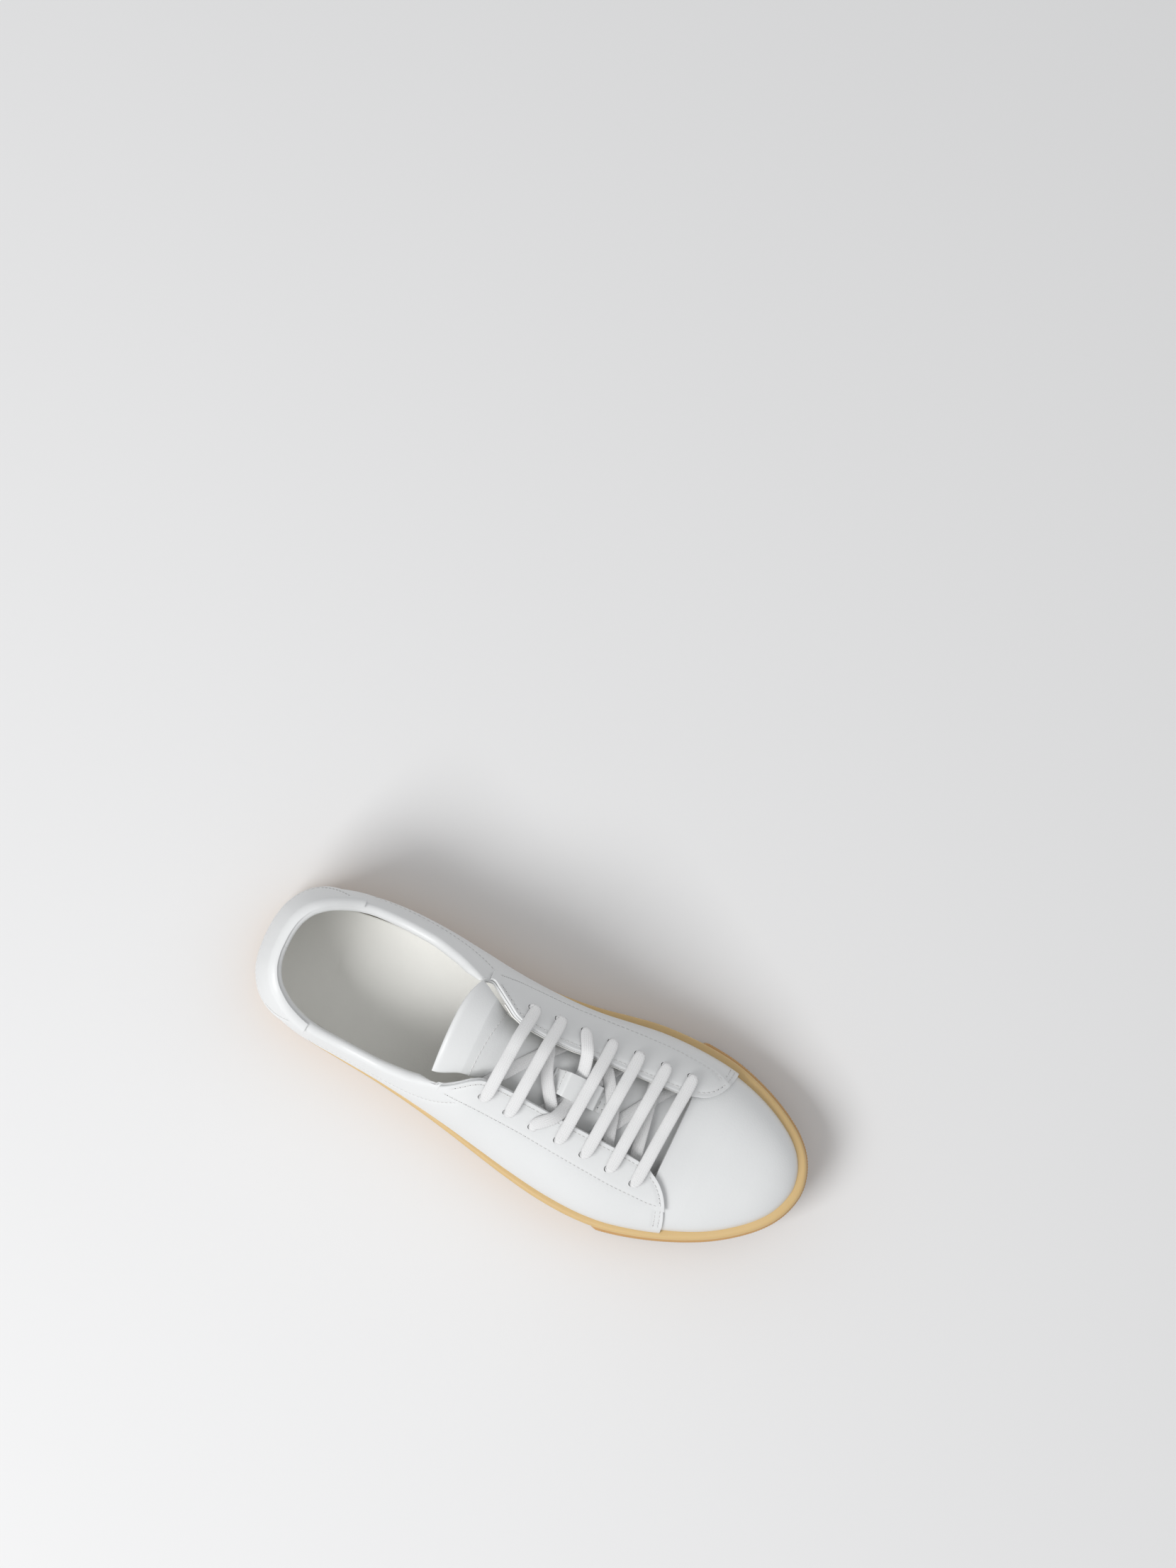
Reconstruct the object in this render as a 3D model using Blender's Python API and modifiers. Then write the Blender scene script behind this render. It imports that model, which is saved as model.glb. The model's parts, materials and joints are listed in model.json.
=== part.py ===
"""Low lace-up court shoe, right foot: cup sole, leather upper, padded tongue and flat lace.

The shoe stands on z = 0 with its toe towards +X and its inner (medial) side towards +Y.
Every curve below is a line of the base size in millimetres; grade() stretches the
curves with the three overall sizes while walls, gaps, holes and the lace keep theirs.
"""
import math

import bpy
import bmesh
import numpy as np
from mathutils import Matrix, Vector

# ---- driving dimensions ------------------------------------------------------------
LENGTH = 0.300          # outer sole, heel bumper to toe bumper
BALL_WIDTH = 0.1083     # sole across the ball of the foot, without the bumpers
COLLAR_HEIGHT = 0.0885  # floor to the top of the heel collar

LEATHER = 1.3           # mm, outer leather
LINING = 0.9            # mm, lining leather
OVERLAY = 1.2           # mm, eyestays and heel tab
GAP = 0.3               # mm, glue line left between neighbouring pieces
PADDING = 1.9           # mm, foam inside the collar
OUTSOLE = 4.5           # mm, rubber under the foot
LIP_DEPTH = 7.0         # mm, how far the upper sits down inside the cup
BUMPER_TOE = 1.3        # mm, raised band round the toe
BUMPER_HEEL = 2.0       # mm, raised band round the heel
EYELET_D = 4.6          # mm, punched lace hole
LACE_W = 6.4            # mm, lace lying flat
LACE_T = 1.9            # mm
KEEPER_T = 1.0          # mm, lace keeper strap
TAPE = 0.8              # mm, tape behind the lace holes
PUFF = 0.9              # mm, stiffener inside the toe
TONGUE_T = 1.0          # mm, outer leather of the tongue
TONGUE_PAD = 2.2        # mm, foam inside the tongue
ROLL_DROP = 4.0         # mm, collar leather turned down inside

BASE = (300.55, 108.3, 88.5)
GX = LENGTH * 1000 / BASE[0]
GY = BALL_WIDTH * 1000 / BASE[1]
GZ = COLLAR_HEIGHT * 1000 / BASE[2]

# ---- lines of the base size (mm): sole edge seen from above --------------------------
LATERAL_EDGE = [(0.6, 0), (0.9, -8), (3.2, -17.5), (9.5, -27.3), (20, -34.4), (30, -37.7), (40, -39.6),
                (60, -41.7), (80, -43.8), (100, -46.8), (120, -50.6), (140, -55.0), (160, -59.3),
                (180, -62.5), (200, -63.6), (215, -62.4), (230, -59.0), (245, -54.0), (258, -48.4),
                (268, -43.0), (277.5, -36.4), (286.5, -28.4), (292.5, -20.8), (296.4, -12.5)]
MEDIAL_EDGE = [(298.2, -3.5), (297.4, 4), (295.2, 10.5), (291.5, 16.6), (285.5, 22.8), (277.2, 28.6),
               (267, 34.0), (256, 38.4), (243, 42.2), (228, 44.2), (212, 44.7), (198, 43.9),
               (184, 41.6), (170, 38.9), (155, 36.9), (140, 36.1), (120, 36.7), (100, 38.4),
               (80, 40.0), (60, 40.6), (42, 39.6), (30, 37.6), (18, 33.5), (9, 27.0), (3.4, 18.0), (1.1, 8.6)]
BOTTOM_Z = [(0, 0), (185, 0), (205, 0.5), (225, 2.1), (245, 4.6), (262, 7.4), (280, 11.0), (298, 15.2)]
LIP_Z = [(0, 24), (20, 24), (50, 25), (80, 25.6), (120, 25), (160, 24), (200, 24.8), (240, 28), (270, 31.6), (298, 36)]
WALL_INSET = [(0, 5.0), (60, 5.2), (120, 5.6), (180, 6.0), (220, 5.8), (240, 5.4), (262, 4.6), (298, 4.2)]
# the crown of the upper: virtual over the foot opening, real over the instep and the toe
CROWN_Z = [(0, 133), (40, 131), (60, 121), (85, 114.5), (100, 112.5), (110, 109.5), (122, 105), (136, 97),
           (160, 84.5), (180, 76), (200, 67.5), (215, 61.5), (228, 57), (240, 54), (252, 52.3),
           (270, 51.2), (285, 51.6), (298, 53)]
CROWN_Y = [(0, 0), (40, 0), (110, -1.8), (150, -3), (215, -4), (246, -5), (298, -5)]
BELLY_TOP_Z = [(0, 92), (40, 88), (60, 84), (80, 88), (100, 100), (122, 104), (136, 97), (160, 84.5),
               (200, 67.5), (240, 54), (298, 53)]
BELLY_LATERAL = [(0, 3.4), (40, 3.0), (60, 2.7), (100, 2.6), (140, 1.8), (180, 1.0), (240, 0.5), (298, 0.3)]
BELLY_MEDIAL = [(0, 3.4), (40, 4.2), (60, 4.8), (100, 5.2), (140, 4.8), (170, 2.8), (200, 0.9), (240, 0.4), (298, 0.3)]
TOPLINE_Z = [(6, 88.3), (11, 88.5), (17, 87.4), (25, 83.8), (37, 77.6), (47, 74.6), (60, 73.0), (75, 74.4),
             (90, 81.5), (100, 88.5), (110, 96.5), (120, 101)]
THROAT_LATERAL = [(106, -30), (110, -28.2), (116, -24.4), (121, -20.6), (126, -18.2), (135, -17.6), (150, -18.5),
                  (170, -20), (190, -21), (212, -22.2), (221, -24), (228, -27.6)]
THROAT_MEDIAL = [(106, 27.5), (110, 25.2), (116, 21.6), (122, 17.8), (128, 14.2), (135, 12.5), (150, 11.6),
                 (160, 11.8), (170, 12.8), (190, 14), (212, 15.2), (222, 16), (230, 18)]
FRONT_LATERAL = [(221, -24), (228, -27.8), (234, -33.6), (238.4, -41), (240.6, -46.5)]
FRONT_MEDIAL = [(225, 16.4), (232, 18.8), (238, 23.6), (242, 30), (244, 35.6)]
FRONT_FOOT_X = {-1: 242.2, 1: 245.2}
STAY_LATERAL = [(109, -31.6), (125, -32.6), (150, -34.6), (170, -36.8), (190, -38.8), (210, -40.2), (226, -40.3), (237.2, -38.6)]
STAY_MEDIAL = [(109, 28.4), (125, 29.6), (150, 29.8), (170, 30.8), (190, 32.4), (210, 33.4), (228, 32.6), (241, 28.6)]
HOLES_LATERAL = [(128.6, -24.8), (143, -26.8), (157.4, -28.2), (171.8, -29), (186.4, -30.2), (201, -31.4), (215.6, -32.8)]
HOLES_MEDIAL = [(132.4, 19.8), (147, 20.4), (161.6, 21), (176.2, 21.6), (190.8, 22.2), (205.4, 23), (220, 23.8)]
HEEL_TAB_FOOT = [(0, 59.0), (10, 58.5), (17, 59.5), (22, 64), (27, 69.5), (32.5, 76.0)]
HEEL_CENTRE, TOE_CENTRE = 40.0, 246.0
CROWN_POWER, SIDE_POWER = 2.4, 2.4

# ---- layers of the upper: how far each face stands off the surface (0 = face of the vamp) ----
Q_IN = 0.4                                       # inner face of a quarter
Q_OUT = Q_IN + LEATHER
STAY_OUT = Q_OUT + GAP + 0.1 + OVERLAY                 # outer face of an eyestay
TAB_LIFT = GAP + 0.1 + OVERLAY                   # heel tab's outer face off the quarter's
FOAM_OUT = Q_IN - GAP - 0.15
FOAM_IN = FOAM_OUT - PADDING
L_OUT = FOAM_IN - GAP - 0.15                     # outer face of the linings
VAMP_LINING = -(LEATHER + GAP + PUFF + GAP + 0.1)
FOOTBED = VAMP_LINING - LINING - 2 * GAP         # rim of the footbed
ROLL_R = (Q_OUT - FOAM_IN + 0.25 + LEATHER) / 2  # outside radius of the rolled collar edge
LACE_ROUND = EYELET_D - 1.5                      # lace bunched inside a hole
TOP_LIFT = STAY_OUT + 0.9 + LACE_T / 2           # middle of a lace bar over the eyestays
UNDER_0 = Q_IN - GAP - TAPE - 1.2 - LACE_T / 2   # middle of the upper diagonals inside
UNDER_1 = UNDER_0 - LACE_T - 0.4                 # middle of the lower ones
T_TOP = UNDER_1 - LACE_T / 2 - 1.0               # face of the tongue
KEPT = -2.25                                     # middle of the bar under the keeper


def grade(points, plan):
    """Stretch a curve of the base size: plan curves are (x, y), the others (x, z)."""
    return [(x * GX, v * (GY if plan else GZ)) for x, v in points]


def curve(points):
    """A smooth line through the points that never overshoots them."""
    px, pv = (np.array(c, float) for c in zip(*points))
    h = np.diff(px)
    d = np.diff(pv) / h
    m = np.zeros(len(px))
    same = d[:-1] * d[1:] > 0
    w1, w2 = 2 * h[1:] + h[:-1], h[1:] + 2 * h[:-1]
    m[1:-1][same] = ((w1 + w2)[same]) / (w1[same] / d[:-1][same] + w2[same] / d[1:][same])
    m[0], m[-1] = d[0], d[-1]

    def value(x):
        x = np.clip(np.asarray(x, float), px[0], px[-1])
        k = np.clip(np.searchsorted(px, x) - 1, 0, len(h) - 1)
        t = (x - px[k]) / h[k]
        return (pv[k] * (1 + 2 * t) * (1 - t) ** 2 + pv[k + 1] * t * t * (3 - 2 * t)
                + h[k] * (m[k] * t * (1 - t) ** 2 - m[k + 1] * t * t * (1 - t)))
    return value


def ramp(x, a, b):
    """0 before a, 1 after b, smooth between."""
    t = np.clip((np.asarray(x, float) - a) / (b - a), 0, 1)
    return t * t * (3 - 2 * t)


bottom_z = curve(grade(BOTTOM_Z, False))
lip_z = curve(grade(LIP_Z, False))
inset = curve([(x * GX, v) for x, v in WALL_INSET])
crown_z = curve(grade(CROWN_Z, False))
crown_y = curve(grade(CROWN_Y, True))
belly_top = curve(grade(BELLY_TOP_Z, False))
belly = {-1: curve(grade(BELLY_LATERAL, True)), 1: curve(grade(BELLY_MEDIAL, True))}
topline_z = curve(grade(TOPLINE_Z, False))
throat_y = {-1: curve(grade(THROAT_LATERAL, True)), 1: curve(grade(THROAT_MEDIAL, True))}
stay_y = {-1: curve(grade(STAY_LATERAL, True)), 1: curve(grade(STAY_MEDIAL, True))}
tab_foot = curve(grade(HEEL_TAB_FOOT, False))
holes = {-1: grade(HOLES_LATERAL, True), 1: grade(HOLES_MEDIAL, True)}
front = {-1: grade(FRONT_LATERAL, True), 1: grade(FRONT_MEDIAL, True)}
KH, KT = HEEL_CENTRE * GX, TOE_CENTRE * GX


# ---- the sole edge as one closed loop, w = 0..1 from the toe tip round the outer side ----
def closed_loop(points, n=1440):
    p = np.array(points, float)
    a = np.vstack([p[-3:], p, p[:4]])
    step = np.sqrt(np.linalg.norm(np.diff(a, axis=0), axis=1))
    t = np.concatenate([[0], np.cumsum(step)])
    out = []
    for i in range(3, 3 + len(p)):
        t0, t1, t2, t3 = t[i - 1:i + 3]
        p0, p1, p2, p3 = a[i - 1:i + 3]
        m1 = (p1 - p0) / (t1 - t0) - (p2 - p0) / (t2 - t0) + (p2 - p1) / (t2 - t1)
        m2 = (p2 - p1) / (t2 - t1) - (p3 - p1) / (t3 - t1) + (p3 - p2) / (t3 - t2)
        u = np.linspace(0, 1, 24, endpoint=False)[:, None]
        h = t2 - t1
        out.append(p1 * (1 + 2 * u) * (1 - u) ** 2 + p2 * u * u * (3 - 2 * u)
                   + h * (m1 * u * (1 - u) ** 2 - m2 * u * u * (1 - u)))
    q = np.vstack(out)
    q = np.vstack([q, q[:1]])
    s = np.concatenate([[0], np.cumsum(np.linalg.norm(np.diff(q, axis=0), axis=1))])
    even = np.linspace(0, s[-1], n + 1)
    return np.column_stack([np.interp(even, s, q[:, k]) for k in (0, 1)])


loop = closed_loop(grade(LATERAL_EDGE + MEDIAL_EDGE, True))[:-1]
loop = loop[np.r_[np.argmax(loop[:, 0]):len(loop), 0:np.argmax(loop[:, 0])]]
loop = loop[::-1] if loop[len(loop) // 4, 1] > 0 else loop
N_LOOP = len(loop)
tangent = np.roll(loop, -2, 0) - np.roll(loop, 2, 0)
tangent /= np.linalg.norm(tangent, axis=1)[:, None]
normal2 = np.column_stack([-tangent[:, 1], tangent[:, 0]])
if normal2[0, 0] < 0:
    normal2 = -normal2
W_HEEL = float(np.argmin(loop[:, 0])) / N_LOOP


def along(table, w):
    """Read a per-loop table at any w."""
    f = np.mod(np.asarray(w, float), 1.0) * N_LOOP
    i = np.floor(f).astype(int) % N_LOOP
    k = (f - np.floor(f))[..., None]
    return table[i] * (1 - k) + table[(i + 1) % N_LOOP] * k


def sole_edge(w, inwards=0.0):
    """Plan position on the sole edge, moved inwards by some millimetres."""
    return along(loop, w) - along(normal2, w) * np.asarray(inwards, float)[..., None]


foot_loop = loop - normal2 * inset(loop[:, 0])[:, None]
half = int(round(W_HEEL * N_LOOP))
SIDE_TABLE = {-1: (foot_loop[half:0:-1, 0], np.arange(half, 0, -1) / N_LOOP),
              1: (foot_loop[half:, 0], np.arange(half, N_LOOP) / N_LOOP)}


def w_at(side, x):
    """The loop position whose section crosses the given x."""
    xs, ws = SIDE_TABLE[side]
    keep = np.maximum.accumulate(xs) == xs
    return np.interp(x, xs[keep], ws[keep])


# ---- the outside surface of the upper, t = 0 in the sole .. 1 on the crown ----------
def surface(w, t):
    w, t = np.broadcast_arrays(np.asarray(w, float), np.asarray(t, float))
    f = along(foot_loop, w)
    side = np.where(np.mod(w, 1.0) < W_HEEL, -1, 1)
    kx = np.clip(f[..., 0], KH, KT)
    ky = crown_y(kx)
    phi = 0.5 * math.pi * np.clip(t, 0, 1) ** (SIDE_POWER / 2)
    r = np.maximum(np.cos(phi), 0) ** (2 / CROWN_POWER)
    dx, dy = f[..., 0] - kx, f[..., 1] - ky
    x = kx + dx * r
    foot = lip_z(f[..., 0]) - LIP_DEPTH
    z = foot + (crown_z(x) - foot) * np.sin(phi) ** (2 / SIDE_POWER)
    b = np.where(side < 0, belly[-1](f[..., 0]), belly[1](f[..., 0]))
    rise = np.clip((z - foot) / (belly_top(x) - foot), 0, 1)
    reach = np.maximum(np.hypot(dx, dy), 1e-6)
    swell = b * np.sin(math.pi * rise) * (1 - t ** 6)
    return np.stack([x + dx / reach * swell, ky + dy * r + dy / reach * swell, z], -1)


def outward(w, t):
    """Unit normal of the upper's surface."""
    w, t = np.broadcast_arrays(np.asarray(w, float), np.asarray(t, float))
    e = 2e-3
    lo, hi = np.maximum(t - e, 0), np.minimum(t + e, 1)
    n = np.cross(surface(w + 1e-3, t) - surface(w - 1e-3, t), surface(w, hi) - surface(w, lo))
    ridge = t > 0.999
    x = surface(w, t)[..., 0]
    up = np.stack([-(crown_z(x + 1) - crown_z(x - 1)) / 2, np.zeros_like(x), np.ones_like(x)], -1)
    n = np.where(ridge[..., None], up, n)
    n /= np.maximum(np.linalg.norm(n, axis=-1), 1e-12)[..., None]
    f = along(foot_loop, w)
    kx = np.clip(f[..., 0], KH, KT)
    side = n[..., 0] * (f[..., 0] - kx) + n[..., 1] * (f[..., 1] - crown_y(kx)) + n[..., 2] * 8
    return n * np.where(side < 0, -1, 1)[..., None]


def skin(w, t, d):
    """The surface moved outwards by d millimetres."""
    return surface(w, t) + outward(w, t) * np.asarray(d, float)[..., None]


def solve_t(w, test):
    """The t on each section where test(points) changes from negative to positive."""
    lo, hi = np.zeros_like(w), np.ones_like(w)
    for _ in range(34):
        mid = (lo + hi) / 2
        above = test(surface(w, mid)) > 0
        hi, lo = np.where(above, mid, hi), np.where(above, lo, mid)
    return (lo + hi) / 2


def t_at_z(w, z):
    return solve_t(w, lambda p: p[..., 2] - z)


def t_at_y(side, w, y):
    return solve_t(w, lambda p: side * (y - p[..., 1]))


def top_t(side, w):
    """The free edge of a quarter: collar line behind, throat line in front."""
    w = np.asarray(w, float)
    collar = solve_t(w, lambda p: p[..., 2] - topline_z(p[..., 0]))
    x = along(foot_loop, w)[..., 0]
    throat = solve_t(w, lambda p: side * (throat_y[side](p[..., 0]) - p[..., 1]))
    k = ramp(x, 104 * GX, 112 * GX)
    return collar * (1 - k) + throat * k


def below(w, t, drop):
    """The t lying drop millimetres down the surface from t."""
    step = np.linalg.norm(surface(w, t) - surface(w, t - 0.02), axis=-1) / 0.02
    t1 = t - drop / step
    step = np.linalg.norm(surface(w, t) - surface(w, t1), axis=-1) / np.maximum(t - t1, 1e-6)
    return t - drop / step


def crown_point(x, y, d=0.0):
    """A point over the instep given from above, with its lift d off the surface."""
    x, y = np.broadcast_arrays(np.asarray(x, float), np.asarray(y, float))

    def height(px, py):
        out = np.zeros_like(px)
        for side in (-1, 1):
            w = w_at(side, px)
            t = solve_t(w, lambda p: side * (py - p[..., 1]))
            out = np.where(side * (py - crown_y(px)) >= 0, surface(w, t)[..., 2], out)
        return out

    z = height(x, y)
    e = 0.6
    zx = (height(x + e, y) - height(x - e, y)) / (2 * e)
    zy = (height(x, y + e) - height(x, y - e)) / (2 * e)
    n = np.stack([-zx, -zy, np.ones_like(x)], -1)
    n /= np.linalg.norm(n, axis=-1)[..., None]
    return np.stack([x, y, z], -1) + n * np.asarray(d, float)[..., None]


# ---- turning grids into closed bodies -------------------------------------------------
made = {}


def material(name, colour, rough, metallic=0.0):
    m = bpy.data.materials.new(name)
    m.use_nodes = True
    bsdf = m.node_tree.nodes["Principled BSDF"]
    bsdf.inputs["Base Color"].default_value = (*colour, 1)
    bsdf.inputs["Roughness"].default_value = rough
    bsdf.inputs["Metallic"].default_value = metallic
    m.diffuse_color = (*colour, 1)
    return m


def add(name, mesh, mat):
    mesh.materials.append(mat)
    obj = bpy.data.objects.new(name, mesh)
    shoe.objects.link(obj)
    made[name] = obj
    return obj


def loft(name, verts, faces, mat):
    """One closed object from vertices in millimetres, faces turned outwards."""
    mesh = bpy.data.meshes.new(name)
    bm = bmesh.new()
    vs = [bm.verts.new([c * 0.001 for c in v]) for v in verts]
    for f in faces:
        bm.faces.new([vs[i] for i in f])
    bmesh.ops.recalc_face_normals(bm, faces=bm.faces)
    bm.to_mesh(mesh)
    bm.free()
    mesh.shade_smooth()
    mesh.set_sharp_from_angle(angle=math.radians(40))
    return add(name, mesh, mat)


def sheet(name, net, thickness, mat, weld=False):
    """Cut leather, tape or foam: an open net of points on its outer face, solidified inwards."""
    nc, nr = net.shape[:2]
    mesh = bpy.data.meshes.new(name)
    bm = bmesh.new()
    vs = [[bm.verts.new(p * 0.001) for p in col] for col in net]
    for i in range(nc - 1):
        for j in range(nr - 1):
            bm.faces.new((vs[i][j], vs[i + 1][j], vs[i + 1][j + 1], vs[i][j + 1]))
    if weld:
        bmesh.ops.remove_doubles(bm, verts=bm.verts, dist=2e-6)
    bmesh.ops.recalc_face_normals(bm, faces=bm.faces)
    bm.normal_update()
    middle = [f for f in bm.faces][len(bm.faces) // 2]
    c = np.array(middle.calc_center_median()) * 1000
    axis = np.array([np.clip(c[0], KH, KT), crown_y(c[0]), 25.0])
    if np.dot(np.array(middle.normal), c - axis) < 0:
        bmesh.ops.reverse_faces(bm, faces=bm.faces)
    bm.to_mesh(mesh)
    bm.free()
    mesh.shade_smooth()
    mesh.set_sharp_from_angle(angle=math.radians(40))
    obj = add(name, mesh, mat)
    solid = obj.modifiers.new("thickness", 'SOLIDIFY')
    solid.thickness, solid.offset = thickness * 0.001, -1
    solid.use_even_offset = True
    solid.use_quality_normals = True
    return obj


def rings(name, loops, mat, close_ends=True, ladder=False):
    """Matching closed loops skinned one after another, capped flat or by rungs."""
    nr, n = len(loops), len(loops[0])
    verts = np.vstack(loops)
    faces = []
    for k in range(nr if not close_ends else nr - 1):
        a, b = k * n, ((k + 1) % nr) * n
        faces += [(a + i, a + (i + 1) % n, b + (i + 1) % n, b + i) for i in range(n)]
    if close_ends and ladder:
        for base, flip in ((0, True), ((nr - 1) * n, False)):
            h = n // 2
            caps = [(base + i, base + i + 1, base + (n - i - 1) % n, base + (n - i) % n) for i in range(h)]
            for c in caps:
                c = tuple(dict.fromkeys(c))
                faces.append(c[::-1] if flip else c)
    elif close_ends:
        faces += [tuple(range(n))[::-1], tuple((nr - 1) * n + i for i in range(n))]
    return loft(name, verts, faces, mat)


def coons(bottom, top, left, right, nc, nr):
    """Fill four boundary lines in the (w, t) plane with an even net."""
    def even(line, n):
        line = np.array(line, float)
        scale = line * [900, 90]
        s = np.concatenate([[0], np.cumsum(np.linalg.norm(np.diff(scale, axis=0), axis=1))])
        u = np.linspace(0, s[-1], n)
        return np.column_stack([np.interp(u, s, line[:, k]) for k in (0, 1)])
    b, t = even(bottom, nc), even(top, nc)
    le, ri = even(left, nr), even(right, nr)
    u = np.linspace(0, 1, nc)[:, None, None]
    v = np.linspace(0, 1, nr)[None, :, None]
    return ((1 - v) * b[:, None] + v * t[:, None] + (1 - u) * le[None] + u * ri[None]
            - (1 - u) * (1 - v) * b[0] - u * (1 - v) * b[-1] - (1 - u) * v * t[0] - u * v * t[-1])


# ---- scene ---------------------------------------------------------------------------
for old in list(bpy.data.objects):
    bpy.data.objects.remove(old, do_unlink=True)
shoe = bpy.data.collections.new("court_shoe")
tools = bpy.data.collections.new("cutters")
bpy.context.scene.collection.children.link(shoe)
bpy.context.scene.collection.children.link(tools)

WHITE = material("white_leather", (0.80, 0.80, 0.79), 0.42)
CREAM = material("lining_leather", (0.72, 0.70, 0.65), 0.55)
GUM = material("gum_rubber", (0.62, 0.37, 0.15), 0.5)
THREAD = material("stitch_thread", (0.78, 0.68, 0.48), 0.8)
FOAM = material("foam", (0.75, 0.74, 0.68), 0.9)
BOARD = material("insole_board", (0.45, 0.34, 0.22), 0.9)
STIFF = material("stiffener", (0.55, 0.53, 0.48), 0.8)
COTTON = material("lace_cotton", (0.82, 0.81, 0.79), 0.85)
PLASTIC = material("aglet_plastic", (0.85, 0.85, 0.84), 0.3)

# ---- cup sole: one rubber cup, skinned from rings of its wall --------------------------
COLS = 72
ws = (np.arange(COLS) / COLS)
edge_x = sole_edge(ws)[:, 0]
toe_band = np.where(ws < 0.5, ramp(edge_x, 211.2 * GX, 212.2 * GX), ramp(edge_x, 223.2 * GX, 224.2 * GX))
heel_band = 1 - ramp(edge_x, 5.4 * GX, 6.4 * GX)
band = toe_band * BUMPER_TOE + heel_band * BUMPER_HEEL
foot_end = np.where(ws < 0.5, FRONT_FOOT_X[-1], FRONT_FOOT_X[1]) * GX
quarter_zone = 1 - ramp(edge_x, foot_end + 4.5, foot_end + 10)
cup_clear = GAP + 0.3 + quarter_zone * (0.2 + LEATHER)


def wall_ring(z, inwards, swell=0.0):
    p = sole_edge(ws, np.asarray(inwards) - swell)
    return np.column_stack([p, np.broadcast_to(z, (COLS,))])


def cup_inside(drop):
    """Inner wall of the cup: hugs the upper, drop millimetres below the lip's top."""
    lip = lip_z(edge_x)
    t = t_at_z(ws, lip - drop)
    p = skin(ws, t, cup_clear)
    p[:, 2] = lip - drop
    return p


zb, zl = bottom_z(edge_x), lip_z(edge_x)
top_in = cup_inside(0.4)
low_in = cup_inside(LIP_DEPTH)
floor_z = zb + OUTSOLE
floor_in = low_in.copy()
floor_in[:, 2] = floor_z
cup = [wall_ring(zb, 1.0), wall_ring(zb + 1.0, 0.2, band), wall_ring(zl - 7.6, 0.4, band),
       wall_ring(zl - 6.8, 0.8, band * 0.6), wall_ring(zl - 6.0, 1.5), wall_ring(zl - 5.2, 0.7),
       wall_ring(zl - 4.2, 0.3), wall_ring(zl - 3.4, 1.6), wall_ring(zl - 2.6, 0.4),
       wall_ring(zl - 0.8, 0.8), wall_ring(zl, 1.5)]
crest = top_in.copy()
crest[:, 2] = zl - 0.1
lip_edge = cup[-1]
crest[:, :2] = lip_edge[:, :2] + (top_in[:, :2] - lip_edge[:, :2]) * 0.72
cup += [crest, top_in, low_in, floor_in]
rings("cupsole", cup, GUM, ladder=True)

# thread of the sole stitch: a closed cord lying in the groove just under the lip
groove = wall_ring(zl - 3.4, 0.75)
cord = bpy.data.curves.new("sole_stitch", 'CURVE')
cord.dimensions = '3D'
line = cord.splines.new('POLY')
line.points.add(COLS - 1)
for knot, p in zip(line.points, groove):
    knot.co = (*(p * 0.001), 1)
line.use_cyclic_u = True
cord.bevel_depth, cord.bevel_resolution = 0.00035, 0
cord.materials.append(THREAD)
made["sole_stitch"] = bpy.data.objects.new("sole_stitch", cord)
shoe.objects.link(made["sole_stitch"])


def slab(name, z0, z1, d, mat, n=56):
    """A flat piece inside the cup: its rim keeps d millimetres off the upper's surface."""
    w = np.arange(n) / n
    lip = lip_z(sole_edge(w)[:, 0])
    low, high = z0(w), z1(w)
    tl = t_at_z(w, np.maximum(low, lip - LIP_DEPTH))
    th = t_at_z(w, np.maximum(high, lip - LIP_DEPTH))
    a, b = skin(w, tl, np.full(n, d)), skin(w, th, np.full(n, d))
    a[:, 2], b[:, 2] = low, high
    return rings(name, [a, b], mat, ladder=True)


def z_of(kind, add):
    f = lip_z if kind == "lip" else bottom_z
    return lambda w: f(sole_edge(w)[:, 0]) + add


FOOT = -LIP_DEPTH
slab("midsole_filler", z_of("bottom", OUTSOLE + GAP), z_of("lip", FOOT - 2.8), -0.6, FOAM)
slab("insole_board", z_of("lip", FOOT - 2.5), z_of("lip", FOOT - 0.5), -LEATHER - 1.0, BOARD)
slab("footbed_foam", z_of("lip", FOOT + 0.0), z_of("lip", FOOT + 4.0), FOOTBED, FOAM)
slab("sock_liner", z_of("lip", FOOT + 4.3), z_of("lip", FOOT + 5.4), FOOTBED - GAP, CREAM)

# ---- vamp, its lining and the toe puff: sections fan round the toe ----------------------
BACK_X, THROAT_X = 212 * GX, 226 * GX


def toe_grid(back, throat, n_side, n_toe, nr, d, t0=0.0, t_end=1.0):
    """Columns lateral -> toe -> medial; rows from the sole to the crown line."""
    rows = np.linspace(t0, t_end, nr)
    xb = back + (throat - back) * ramp(rows, 0.25, 0.8)
    cols = []
    for s in np.linspace(0, 1, n_side):
        cols.append((w_at(-1, xb + (KT - xb) * s), rows))
    w0, w1 = float(w_at(-1, KT)), float(w_at(1, KT)) - 1.0
    for s in np.linspace(0, 1, n_toe + 1)[1:-1]:
        cols.append((np.full(nr, w0 + (w1 - w0) * s), rows))
    for s in np.linspace(1, 0, n_side):
        cols.append((w_at(1, xb + (KT - xb) * s), rows))
    return np.array([skin(w, t, np.full(nr, d)) for w, t in cols])


def toe_sheet(name, back, throat, d, thickness, mat, n_side=6, n_toe=20, nr=11):
    net = toe_grid(back, throat, n_side, n_toe, nr, d)
    nc = len(net)                          # both sides share one line along the crown
    net[:n_side, -1] = net[nc - n_side:, -1][::-1]
    net[n_side - 1:nc - n_side + 1, -1] = net[n_side - 1, -1]
    return sheet(name, net, thickness, mat, weld=True)


toe_sheet("vamp", BACK_X, THROAT_X, 0.0, LEATHER, WHITE)
toe_sheet("vamp_lining", BACK_X + 1, THROAT_X + 1, VAMP_LINING, LINING, CREAM, n_side=5, n_toe=14, nr=7)

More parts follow.
